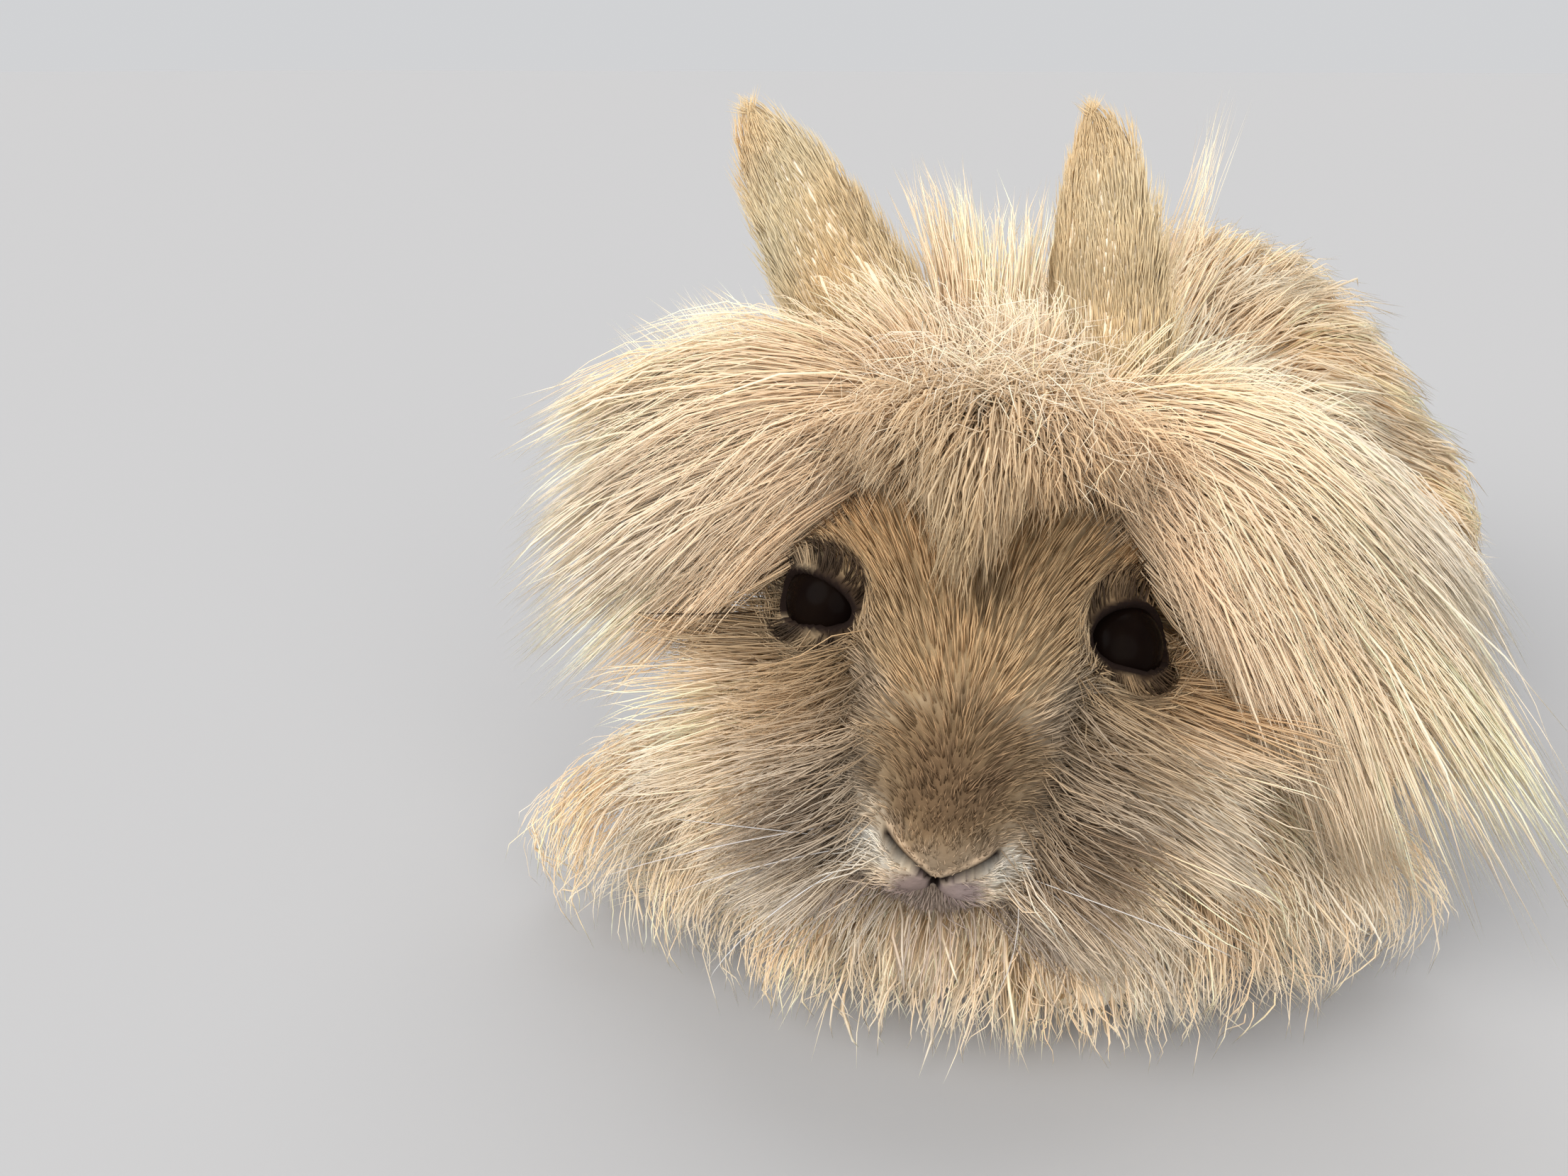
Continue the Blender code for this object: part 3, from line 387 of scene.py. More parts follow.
def merged(first, second, blend):
    share = np.clip(0.5 + 0.5 * (first - second) / blend, 0, 1)
    return first * (1 - share) + second * share - blend * share * (1 - share)


def cut_from(first, second, blend):
    return -merged(-first, second, blend)


def field_of(forms, blend):
    """The signed distance to a smooth union of ellipsoids, all in one frame, as a function of points."""

    def field(points):
        total = one_distance(points, *forms[0])
        for form in forms[1:]:
            total = merged(total, one_distance(points, *form), blend)
        return total

    return field


head_field = field_of(HEAD_FORMS, HEAD_BLEND)
body_field = field_of(BODY_FORMS, TRUNK_BLEND)


def away_from(field, points):
    """The unit direction straight out of a field of distances at each point."""
    slopes = [field(points + axis) - field(points - axis) for axis in np.eye(3) * 0.0004]
    return unit(np.array(slopes).T)


def moved_to(height, field, points, rounds=3):
    """The points moved straight to a height over a field's surface."""
    for _ in range(rounds):
        over = field(points) - height
        points = points - away_from(field, points) * over[:, None]
    return points


def turned(matrix, vectors):
    return vectors @ np.array(matrix.to_3x3()).T


def in_world(matrix, points):
    return turned(matrix, points) + np.array(matrix.translation)


def in_head(points):
    """World points in the head's frame."""
    return in_world(HEAD_FRAME.inverted(), points)


def ellipsoid_cut(points, centre, axes, radii):
    """Signed distance to an ellipsoid whose three unit axes are given as rows."""
    local = (points - centre) @ np.array(axes).T
    return one_distance(local, (0, 0, 0), radii)


def slit_distance(points, side):
    """Signed distance to the opening between the lids of one eye."""
    look = unit(SLIT_LOOK * (side, 1, 1))
    long_way = SLIT_LONG * (side, 1, 1)
    long_way = unit(long_way - look * long_way.dot(look))
    short_way = np.cross(look, long_way) * side
    middle = EYE_PLACE * (side, 1, 1) + look * SLIT_REACH + short_way * SLIT_RAISE[side]
    return ellipsoid_cut(points, middle, (long_way, short_way, look), SLIT_RADII[side])


def nostril_distance(points, side):
    long_way = unit(NOSTRIL_LONG * (side, 1, 1))
    face = unit(NOSTRIL_FACE * (side, 1, 1))
    axes = (long_way, face, np.cross(long_way, face))
    return ellipsoid_cut(points, NOSTRIL * (side, 1, 1), axes, NOSTRIL_RADII)


def cleft_distance(points):
    return one_distance(points, *CLEFT)


def mouth_distance(points):
    """Signed distance to the line of the mouth, which falls towards its corners."""
    wide = np.abs(points[:, 0])
    folded = np.stack([wide, points[:, 1], points[:, 2] + MOUTH_FALL * wide], axis=1)
    return one_distance(folded, *MOUTH)


def flesh_field(points):
    """The head under its fur, with lids, nose pad, lips and chin."""
    total = head_field(points) + HEAD_FUR
    total = merged(total, one_distance(points, NOSE, NOSE_RADII), NOSE_BLEND)
    for side in SIDES.values():
        total = merged(total, one_distance(points, LIP_PLACE * (side, 1, 1), LIP_RADII), LIP_BLEND)
        eye = np.linalg.norm(points - EYE_PLACE * (side, 1, 1), axis=1)
        total = merged(total, eye - EYE_RADIUS - LID, LID_BLEND)
    return merged(total, one_distance(points, *CHIN), CHIN_BLEND)


def openings(points):
    """Signed distances to each eye's slit and each nostril, then to the cleft and the mouth."""
    pairs = [cut(points, side) for side in SIDES.values() for cut in (slit_distance, nostril_distance)]
    return [*pairs, cleft_distance(points), mouth_distance(points)]


def face_field(points):
    """The same head with the openings cut in, each with its own soft edge."""
    total = flesh_field(points)
    for opening, edge in zip(openings(points), OPENING_EDGES):
        total = cut_from(total, opening, edge)
    return total


def shell(field, centre, matrix, rings, segments, gather=1.0):
    """Points and triangles of a closed form: rays from its centre, drawn out to where the field's form ends.

    The poles lie along the frame's Y. A gather over 1 draws the rings together towards its -Y end.
    """
    angles = math.pi * (np.arange(1, rings) / rings) ** gather
    turns = 2 * math.pi * np.arange(segments) / segments
    spokes = np.stack([np.sin(turns), np.zeros(segments), np.cos(turns)], axis=1)
    front = np.array((0, -1, 0))
    rays = np.sin(angles)[:, None, None] * spokes + np.cos(angles)[:, None, None] * front
    rays = np.vstack([front, rays.reshape(-1, 3), -front])
    low = np.zeros(len(rays))
    high = np.full(len(rays), 0.2)
    for _ in range(24):
        middle = (low + high) / 2
        inside = field(np.array(centre) + rays * middle[:, None]) < 0
        low = np.where(inside, middle, low)
        high = np.where(inside, high, middle)
    points = in_world(matrix, np.array(centre) + rays * low[:, None])
    points[:, 2] = np.maximum(points[:, 2], FLOOR + SKIN_LIFT)
    spot = np.arange(segments)
    after = (spot + 1) % segments
    last = len(points) - 1
    faces = [np.stack([np.zeros_like(spot), 1 + after, 1 + spot], axis=1)]
    for ring in range(rings - 2):
        near = 1 + ring * segments
        far = near + segments
        faces.append(np.stack([near + spot, near + after, far + after], axis=1))
        faces.append(np.stack([near + spot, far + after, far + spot], axis=1))
    near = 1 + (rings - 2) * segments
    faces.append(np.stack([near + spot, near + after, np.full_like(spot, last)], axis=1))
    return points, np.concatenate(faces)


def added(name, data):
    """A new object in the scene."""
    obj = bpy.data.objects.new(name, data)
    bpy.context.scene.collection.objects.link(obj)
    return obj


def object_from(name, points, faces):
    """A mesh object from points and faces, with its normals turned outwards."""
    data = bpy.data.meshes.new(name)
    data.from_pydata([tuple(point) for point in points], [], [tuple(face) for face in faces])
    mesh = bmesh.new()
    mesh.from_mesh(data)
    bmesh.ops.recalc_face_normals(mesh, faces=mesh.faces)
    bmesh.ops.triangulate(mesh, faces=mesh.faces)
    mesh.to_mesh(data)
    mesh.free()
    return added(name, data)


def joined(obj, pieces):
    """One Boolean union of obj with closed pieces, applied, with the pieces removed."""
    group = bpy.data.collections.new(obj.name + "_pieces")
    bpy.context.scene.collection.children.link(group)
    for piece in pieces:
        bpy.context.scene.collection.objects.unlink(piece)
        group.objects.link(piece)
    union = obj.modifiers.new("join", "BOOLEAN")
    union.operand_type = "COLLECTION"
    union.collection = group
    union.operation = "UNION"
    union.solver = "MANIFOLD"
    bpy.context.view_layer.update()
    data = bpy.data.meshes.new_from_object(obj.evaluated_get(bpy.context.evaluated_depsgraph_get()))
    obj.modifiers.clear()
    obj.data = data
    for piece in pieces:
        bpy.data.objects.remove(piece)
    bpy.data.collections.remove(group)


def ear_section(word, share, depth, columns):
    """Points across an ear at a share of its length, a depth outside the cup, and its opening's direction."""
    root = HEAD_FRAME @ Vector((SIDES[word] * EAR_ROOT.x, EAR_ROOT.y, EAR_ROOT.z))
    axis = EAR_TIPS[word] - root
    length = axis.length
    axis.normalize()
    opening = (EAR_OPENING[word] - axis * EAR_OPENING[word].dot(axis)).normalized()
    across = axis.cross(opening)
    width = EAR_WIDTH * (0.95 + 0.35 * share) * (1 - share) ** 0.6 + 0.001
    curl = EAR_CURL * (1.25 - 0.45 * share)
    radius = width / (2 * curl)
    lean = root + axis * (length * share) - opening * (0.1 * length * share * (1 - share))
    points = []
    for column in range(columns + 1):
        along = 2 * column / columns - 1
        reach = radius + depth * (1 - 0.55 * abs(along))
        sideways = across * (math.sin(curl * along) * reach)
        points.append(lean + sideways - opening * (math.cos(curl * along) * reach - radius))
    return points, opening


def ear_skin(word):
    """One ear's cup as a closed wall, finer than the solid's."""
    rows, columns = 28, 20
    rings = []
    for row in range(rows + 1):
        share = 0.99 * row / rows - 0.04
        outer, _ = ear_section(word, share, EAR_WALL, columns)
        inner, _ = ear_section(word, share, 0.0006, columns)
        rings.append(outer + inner[::-1])
    count = len(rings[0])
    faces = [list(range(count)), [rows * count + place for place in range(count)]]
    for row in range(rows):
        for place in range(count):
            after = (place + 1) % count
            low, high = row * count, (row + 1) * count
            faces.append([low + place, low + after, high + after, high + place])
    return object_from("ear_skin", [point for ring in rings for point in ring], faces)


def patches(points, rows):
    """The strongest of some soft-edged ellipsoids at each point, the same on both sides of the head."""
    folded = np.stack([np.abs(points[:, 0]), points[:, 1], points[:, 2]], axis=1)
    shares = []
    for centre, radii, soft, strength in rows:
        reach = np.linalg.norm((folded - metres(centre)) / metres(radii), axis=1)
        shares.append(strength * smoothly((1 + soft - reach) / (2 * soft)))
    return np.max(shares, axis=0)


def ripple(points, size, seed):
    """A smooth random field from -1 to 1 over space, with spots of about the given size."""
    waves = np.random.default_rng(seed)
    ways = unit(waves.normal(0, 1, (7, 3))) * waves.uniform(0.7, 1.5, (7, 1)) * 2 * math.pi / size
    turns = waves.uniform(0, 2 * math.pi, 7)
    return np.sin(points @ ways.T + turns).sum(axis=1) / 3.2


def markings(points):
    """The coat's markings at points in the world, from 0 to 1: golden, sooty brown with painted shade, pale
    tufts, lips and painted shade.
    """
    local = in_head(points) + 0.0012 * ripple(points, 0.006, 5)[:, None]
    golden = patches(local, GOLDEN_PATCHES)
    soot_and_shade = patches(local, SOOT_AND_SHADE_PATCHES)
    shade = patches(local, FORELOCK_SHADOW_PATCHES)
    for side in SIDES.values():
        opening = slit_distance(local, side)
        golden = np.maximum(golden, fading(opening, *EYE_GOLDEN))
        # Sooty brown round the opening, partly painted shade of the recess, and painted shade nearer its rim
        soot_and_shade = np.maximum(soot_and_shade, fading(opening, *EYE_BROWN_AND_SHADE))
        shade = np.maximum(shade, fading(opening, *EYE_SHADE))
    return np.stack([golden, soot_and_shade, patches(local, PALE_PATCHES), patches(local, LIP_PATCHES), shade], axis=1)


def coat_colour(points, way, ends, tone):
    """The coat's colour at points: base ends, then the markings, then each hair's own lightness."""
    way = smoothly(way)[:, None]
    # The roots are darker than the tips, partly as painted shade deep in the coat
    colour = ends[:, 0] * (1 - way) + ends[:, 1] * way
    marks = markings(points)
    for share, (root, tip) in zip(marks.T, (GOLDEN, SOOT_AND_SHADE, PALE, LIP, SHADE)):
        other = np.array(root) * (1 - way) + np.array(tip) * way
        colour += (other - colour) * share[:, None]
    warm = ripple(points, 0.034, 3)[:, None]
    light = 1 + 0.07 * ripple(points, 0.021, 4)[:, None]
    colour = colour * light * (1 + warm * np.array((0.03, -0.01, -0.07)))
    speckle = 1 + (0.3 + 0.55 * marks[:, 1:2]) * (tone[:, None] - 0.5)
    return np.clip(colour * speckle, 0.002, 0.97)


def unwrapped(points):
    """Each point's place on an unwrap: longitude and latitude about the head or the trunk it lies on."""
    local = in_head(points)
    on_head = head_field(local) < body_field(points)
    ray = unit(np.where(on_head[:, None], local - HEAD_MIDDLE, points - TRUNK_MIDDLE))
    across = np.arctan2(ray[:, 0], ray[:, 2]) / (2 * math.pi) + 0.5
    along = np.arccos(np.clip(-ray[:, 1], -1, 1)) / math.pi
    left = UV_EDGE + np.where(on_head, 0, 0.5)
    return np.stack([left + (0.5 - 3 * UV_EDGE) * across, UV_EDGE + (1 - 3 * UV_EDGE) * along], axis=1)


def add_colour(data, name, values):
    attribute = data.attributes.new(name, "FLOAT_COLOR", "POINT")
    full = np.ones((len(data.vertices), 4), dtype=np.float32)
    full[:, :3] = values
    attribute.data.foreach_set("color", full.ravel())


def scattered(points, faces, count, weight=None):
    """Random places on a mesh of triangles, as dense as the weight at each one's middle says."""
    corners = points[faces]
    area = np.linalg.norm(np.cross(corners[:, 1] - corners[:, 0], corners[:, 2] - corners[:, 0]), axis=1)
    if weight is not None:
        area = area * weight(corners.mean(axis=1))
    which = DRAW.choice(len(faces), count, p=area / area.sum())
    first, second = np.sqrt(DRAW.random((count, 1))), DRAW.random((count, 1))
    a, b, c = (corners[which, place] for place in range(3))
    return a * (1 - first) + b * first * (1 - second) + c * first * second


def curved(places, shares):
    """Points at shares (N, K) of the ways of smooth curves near their places (N, P, 3)."""
    count = places.shape[1]
    knots = np.linspace(0, 1, count)
    fit = np.linalg.inv(np.vander(knots, count, increasing=True))
    through = np.einsum("pq,nqc->npc", fit, places)
    powers = shares[:, :, None] ** np.arange(count)
    touching = np.einsum("nkp,npc->nkc", powers, through)
    weights = [math.comb(count - 1, i) * shares**i * (1 - shares) ** (count - 1 - i) for i in range(count)]
    pulled = np.einsum("nkp,npc->nkc", np.stack(weights, axis=2), places)
    return 0.55 * touching + 0.45 * pulled


def between(guides, at):
    """Guides blended at places along their row. Guides (G, P, C), at (N,) from 0 to G - 1."""
    guides = np.array(guides)
    which = np.minimum(at.astype(int), len(guides) - 2)
    share = (at - which)[:, None, None]
    return guides[which] * (1 - share) + guides[which + 1] * share


def clumped(spines, roots, per_clump, pull, stray=0.1):
    """Draws each hair towards the hair at the middle of its clump, more so near the tip."""
    count = len(spines)
    middles = DRAW.choice(count, max(2, count // per_clump), replace=False)
    tree = KDTree(len(middles))
    for place, middle in enumerate(middles):
        tree.insert(roots[middle], place)
    tree.balance()
    nearest = middles[[tree.find(root)[1] for root in roots]]
    stations = np.linspace(0, 1, spines.shape[1])
    strength = pull * DRAW.uniform(0.6, 1.15, count) * (DRAW.random(count) > stray)
    share = strength[:, None] * smoothly(stations)[None, :]
    return spines + (spines[nearest] - spines) * np.clip(share, 0, 0.95)[:, :, None]


def spans(count, stations, spread, long):
    """Where each hair's stations lie along its guide: it starts within the spread and is as long as told."""
    first = spread * DRAW.random((count, 1)) ** 0.8
    last = first + long * DRAW.uniform(0.8, 1.2, (count, 1))
    last = np.minimum(last, DRAW.uniform(0.92, 1.04, (count, 1)))
    return first + (last - first) * np.linspace(0, 1, stations)[None]


def drifted(spines, reach, size):
    """Bends neighbouring hairs together, each lock its own way, most of all at the tip."""
    way = np.stack([ripple(spines[:, 1], size, seed) for seed in (21, 22, 23)], axis=1)
    shares = np.linspace(0, 1, spines.shape[1]) ** 1.3
    return spines + way[:, None] * reach * shares[None, :, None]


def waved(spines, reach, stray=0.05):
    """Adds each hair's own slow wave, from nothing at the root to its reach at the tip, wider on strays."""
    count, stations = spines.shape[:2]
    shares = np.linspace(0, 1, stations)
    reach = reach * np.where(DRAW.random(count) < stray, 1.7, 1.0)[:, None, None]
    total = np.zeros_like(spines)
    for beat in (0.6, 1.2):
        turn = DRAW.uniform(0, 2 * math.pi, (count, 1, 3))
        swing = np.sin(shares[None, :, None] * beat * 2 * math.pi + turn) - np.sin(turn)
        total += swing * reach / (beat + 0.4)
    return spines + total * shares[None, :, None]


class Hair:
    """Hairs of one part of the coat, gathered as arrays and made into joined meshes."""

    def __init__(self, name, slot, ends):
        self.name = name
        self.slot = slot
        self.ends = np.array(ends)
        self.groups = {}

    def add(self, spines, outs, width, ends=None, matrix=WORLD_FRAME, off_ears=False, spread=0.16):
        """Hairs along spines (N, K, 3) in a matrix's frame, with the ways out of the skin and the widths.

        Ends are the colours at root and tip, if not the coat's own. Hairs near the ears can be left out.
        """
        outs = np.broadcast_to(outs if outs.ndim == 3 else outs[:, None], spines.shape)
        spines = in_world(matrix, spines)
        outs = turned(matrix, outs)
        if off_ears:
            kept = clear_of_ears(spines)
            spines = spines[kept]
            outs = outs[kept]
        count = len(spines)
        widths = width * DRAW.uniform(0.8, 1.2, count)
        own = np.broadcast_to(self.ends if ends is None else np.array(ends), (count, 2, 3))
        tone = np.clip(0.5 + DRAW.normal(0, spread, count), 0, 1)
        self.groups.setdefault(spines.shape[1], []).append((spines, outs, widths, own, tone))

    def build(self, material):
        part = 0
        for stations, rows in sorted(self.groups.items()):
            arrays = [np.concatenate(column) for column in zip(*rows)]
            pieces = math.ceil(len(arrays[0]) * (6 * stations - 8) / HAIR_LIMIT)
            for share in range(pieces):
                part += 1
                self.build_piece(f"{self.name}_{part}", material, *(array[share::pieces] for array in arrays))

    def build_piece(self, name, material, spines, outs, widths, ends, tone):
        spines = spines.copy()
        spines[:, :, 2] = np.maximum(spines[:, :, 2], FLOOR + HAIR_LIFT)
        count, stations = spines.shape[:2]
        shares = np.linspace(0, 1, stations)
        along = unit(np.gradient(spines, axis=1))
        face = flat_to(along, outs)
        side = np.cross(along, face)
        half = widths[:, None, None] / 2 * (0.75 + 0.55 * shares - 1.0 * shares**2)[None, :, None]
        rings = np.stack([spines + side * half, spines - side * half, spines + face * half], axis=2)
        points = np.concatenate([rings[:, :-1].reshape(count, -1, 3), spines[:, -1:]], axis=1)
        per_hair = points.shape[1]
        faces = (hair_faces(stations)[None] + (np.arange(count) * per_hair)[:, None, None]).reshape(-1, 3)
        data = bpy.data.meshes.new(name)
        data.vertices.add(count * per_hair)
        data.vertices.foreach_set("co", points.astype(np.float32).ravel())
        data.loops.add(faces.size)
        data.loops.foreach_set("vertex_index", faces.astype(np.int32).ravel())
        data.polygons.add(len(faces))
        data.polygons.foreach_set("loop_start", np.arange(0, faces.size, 3, dtype=np.int32))
        data.polygons.foreach_set("use_smooth", np.ones(len(faces), dtype=bool))
        data.update(calc_edges=True)
        way = np.tile(np.append(np.repeat(shares[:-1], 3), 1.0), count)
        roots = np.repeat(spines[:, 0], per_hair, axis=0)
        colour = coat_colour(roots, way, np.repeat(ends, per_hair, axis=0), np.repeat(tone, per_hair))
        add_colour(data, "tint", colour)
        corner = np.tile(np.append(np.tile([0.0, 1.0, 0.5], stations - 1), 0.5), count)
        spot = unwrapped(spines[:, 0])
        spot = np.repeat(spot, per_hair, axis=0) + 0.003 * np.stack([corner, way], axis=1)
        layer = data.uv_layers.new(name="OFBake")
        layer.data.foreach_set("uv", spot[faces.ravel()].astype(np.float32).ravel())
        obj = added(name, data)
        data.materials.append(material)
        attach(obj, "root")


def hair_faces(stations):
    """The triangles of one hair: a cap at the root, three sides, and a point at the tip."""
    faces = [(0, 1, 2)]
    for ring in range(stations - 2):
        for place in range(3):
            near, after = 3 * ring + place, 3 * ring + (place + 1) % 3
            faces += [(near, near + 3, after), (after, near + 3, after + 3)]
    last = 3 * (stations - 2)
    tip = 3 * (stations - 1)
    faces += [(last + place, tip, last + (place + 1) % 3) for place in range(3)]
    return np.array(faces)


def new_material(name, roughness, specular):
    """A material with its nodes, its links and its shader."""
    material = bpy.data.materials.new(name)
    material.use_nodes = True
    shader = material.node_tree.nodes["Principled BSDF"]
    shader.inputs["Roughness"].default_value = roughness
    shader.inputs["Specular IOR Level"].default_value = specular
    return material, material.node_tree.nodes, material.node_tree.links, shader


def tinted(nodes, links, shader):
    """Takes the shader's colour from the mesh."""
    tint = nodes.new("ShaderNodeAttribute")
    tint.attribute_name = "tint"
    links.new(tint.outputs["Color"], shader.inputs["Base Color"])
    return tint


def noise_over(nodes, links, scale):
    """Noise over the object's own places."""
    place = nodes.new("ShaderNodeTexCoord")
    noise = nodes.new("ShaderNodeTexNoise")
    noise.inputs["Scale"].default_value = scale
    links.new(place.outputs["Object"], noise.inputs["Vector"])
    return noise


def hair_material():
    """Hair in its mesh's colour, which lets some of the light through."""
    material, nodes, links, shader = new_material("coat_hair", roughness=0.6, specular=0.22)
    tint = tinted(nodes, links, shader)
    glow = nodes.new("ShaderNodeBsdfTranslucent")
    links.new(tint.outputs["Color"], glow.inputs["Color"])
    mix = nodes.new("ShaderNodeMixShader")
    mix.inputs["Fac"].default_value = 0.5
    links.new(shader.outputs["BSDF"], mix.inputs[1])
    links.new(glow.outputs["BSDF"], mix.inputs[2])
    links.new(mix.outputs["Shader"], nodes["Material Output"].inputs["Surface"])
    return material


def skin_material():
    """Short fur seen as skin: its mesh's colour with a fine bump."""
    material, nodes, links, shader = new_material("skin_fur", roughness=0.8, specular=0.05)
    tinted(nodes, links, shader)
    bump = nodes.new("ShaderNodeBump")
    bump.inputs["Strength"].default_value = 0.4
    bump.inputs["Distance"].default_value = 0.0004
    links.new(noise_over(nodes, links, 1400).outputs["Fac"], bump.inputs["Height"])
    links.new(bump.outputs["Normal"], shader.inputs["Normal"])
    return material


def off_head(points):
    """0 for points of the skin on the head, rising to 1 over the ears, neck and body."""
    return smoothly((head_field(in_head(points)) - 0.002) / 0.004)


def skin_colour(points):
    """The skin's colour: the coat's, darkened as painted shade under the fur, with dark lines in the openings
    (painted shade, and round the eyes also the lids' own dark rims) and a pale rim over the nose.
    """
    count = len(points)
    ends = np.broadcast_to(np.array(CREAM), (count, 2, 3))
    colour = coat_colour(points, np.full(count, 0.35), ends, np.full(count, 0.5))
    local = in_head(points)
    line = np.minimum(cleft_distance(local), mouth_distance(local))
    rim = np.zeros(count)
    for side in SIDES.values():
        nostril = nostril_distance(local, side)
        above = local[:, 2] - NOSTRIL[2] > (np.abs(local[:, 0]) - NOSTRIL[0]) * NOSTRIL_LONG[2]
        rim = np.maximum(rim, fading(np.abs(nostril - RIM_PLACE), 1, 0, RIM_WIDTH) * above)
        line = np.minimum(line, nostril)
        line = np.minimum(line, slit_distance(local, side) - EYE_LINE)
    bare = np.maximum(0.25 * markings(points)[:, 3], off_head(points))
    # Painted shade: the skin under the fur is darkened, less so where it is bare
    colour *= (UNDER_FUR_SHADE + (BARE_SKIN - UNDER_FUR_SHADE) * bare)[:, None]
    colour += (np.array(RIM_COLOUR) - colour) * (RIM_STRENGTH * rim)[:, None]
    # Painted shade in the nostrils, the cleft and the mouth, and the lids' dark rims with painted shade round
    # the eyes
    dark = fading(line, 1, 0, LINE_FADE)[:, None]
    return colour + (np.array(LINE_AND_SHADE_COLOUR) - colour) * dark


def build_skin():
    """One skin for the head, neck, trunk, legs, tail and ears, in place of the nodes of flesh."""
    forms = {
        "head": shell(face_field, HEAD_MIDDLE, HEAD_FRAME, rings=150, segments=220, gather=1.5),
        "trunk": shell(field_of(TRUNK_FORMS, TRUNK_BLEND), TRUNK_MIDDLE, WORLD_FRAME, 60, 80),
    }
    for name, own, matrix, rings, segments in (
        ("neck", NECK_FORMS, HEAD_FRAME, 32, 48),
        ("throat", THROAT_FORMS, FRONT_FRAME, 32, 48),
        ("tail", TAIL_FORMS, WORLD_FRAME, 20, 28),
    ):
        forms[name] = shell(field_of(own, PART_BLEND), own[0][0], matrix, rings, segments)
    for word, side in SIDES.items():
        for name, own, middle, matrix in (
            ("foreleg_", FORELEG_FORMS, FORELEG_MIDDLE, FRONT_FRAME),
            ("hindleg_", HINDLEG_FORMS, HINDLEG_MIDDLE, WORLD_FRAME),
        ):
            field = field_of(mirrored(own, side), PART_BLEND)
            forms[name + word] = shell(field, middle * (side, 1, 1), matrix, 32, 40)
    skin = object_from("skin", *forms["head"])
    pieces = [object_from(name, *form) for name, form in forms.items() if name != "head"]
    joined(skin, pieces + [ear_skin(word) for word in SIDES])
    places = np.empty(len(skin.data.vertices) * 3, dtype=np.float32)
    skin.data.vertices.foreach_get("co", places)
    add_colour(skin.data, "tint", skin_colour(places.reshape(-1, 3).astype(float)))
    skin.data.materials.clear()
    skin.data.materials.append(skin_material())
    skin.data.shade_smooth()
    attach(skin, "root")
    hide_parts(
        "head", "neck", "chest", "torso", "tail", "ear_left", "ear_right",
        "foreleg_left", "foreleg_right", "hindleg_left", "hindleg_right",
    )
    return forms


def build_eyes():
    """Wet, near-black eyes with a faint brown grain."""
    material, nodes, links, shader = new_material("eye_wet", roughness=0.22, specular=0.01)
    ramp = nodes.new("ShaderNodeValToRGB")
    for stop, colour in zip(ramp.color_ramp.elements, EYE_COLOURS):
        stop.color = colour
    links.new(noise_over(nodes, links, 260).outputs["Fac"], ramp.inputs["Fac"])
    links.new(ramp.outputs["Color"], shader.inputs["Base Color"])
    for word, side in SIDES.items():
        mesh = bmesh.new()
        spot = HEAD_FRAME @ Matrix.Translation(Vector(EYE_PLACE * (side, 1, 1)))
        bmesh.ops.create_uvsphere(mesh, u_segments=64, v_segments=40, radius=EYE_RADIUS, matrix=spot)
        data = bpy.data.meshes.new("eyeball_" + word)
        mesh.to_mesh(data)
        mesh.free()
        eye = added("eyeball_" + word, data)
        data.materials.append(material)
        data.shade_smooth()
        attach(eye, "root")
        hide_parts("eye_" + word)


def walk(field, roots, stations, length, lift, lie_at, steps=3):
    """Hairs that walk over a field's surface along a lie, at a height that grows by lift(share)."""
    points = roots
    path, outs = [], []
    total = steps * (stations - 1)
    for step in range(total + 1):
        points = moved_to(lift(step / total), field, points, 1)
        away = away_from(field, points)
        if step % steps == 0:
            path.append(points)
            outs.append(away)
        points = points + flat_to(away, lie_at(points)) * (length / total)[:, None]
    return np.stack(path, axis=1), np.stack(outs, axis=1)


def body_lie(points):
    """Back along the trunk, outwards and down its sides."""
    side = points[:, 0] / np.maximum(np.hypot(points[:, 0], points[:, 2] - TRUNK_MIDDLE[2]), 1e-6)
    return np.stack([side * 0.35, np.ones(len(points)), -0.25 - 0.75 * np.abs(side)], axis=1)


def comb_body():
    """The trunk's long coat: wide soft tufts below and fine hair above, both walking back along the body."""
    hair = Hair("coat_body", "body_coat", PEACH)
    trunk, faces = shell(body_field, TRUNK_MIDDLE, WORLD_FRAME, 60, 80)

    def wanted(points):
        x, y, z = points.T
        return (z > 0.012) * (y > -0.05) * (1.0 + 0.5 * (x > 0))

    for count, stations, width, top in ((3200, 5, 0.001, 0.45), (11200, 4, 0.00045, 1.0)):
        roots = scattered(trunk, faces, count, wanted)
        layer = DRAW.random(count) ** 0.5 * top
        length = 0.05 * DRAW.uniform(0.7, 1.15, count)
        thin = 1 - 0.82 * smoothly((roots[:, 0] - 0.005) / 0.045)

        def lift(share):
            return 0.001 + np.interp(share, *BODY_RISE) * (0.35 + 0.65 * layer) * thin

        spines, outs = walk(body_field, roots, stations, length, lift, body_lie)
        spines = drifted(spines, 0.0025, 0.03)
        spines = clumped(spines, roots, max(4, count // 320), 0.75)
        spines = clumped(spines, roots, max(2, count // 2400), 0.45)
        hair.add(waved(spines, 0.0013), outs, width)
    return hair


def sprung(roots, middle, lean, out, reach, least, lift):
    """Hairs of four stations that spring out from a middle, lean one way and lift off the skin."""
    away = unit(roots - middle)
    ways = unit(np.array(lean) + away * out)
    length = reach * DRAW.uniform(least, 1.1, (len(roots), 1, 1))
    shares = np.linspace(0, 1, 4)[None, :, None]
    return roots[:, None] + ways[:, None] * length * shares + away[:, None] * lift * shares**0.5, away


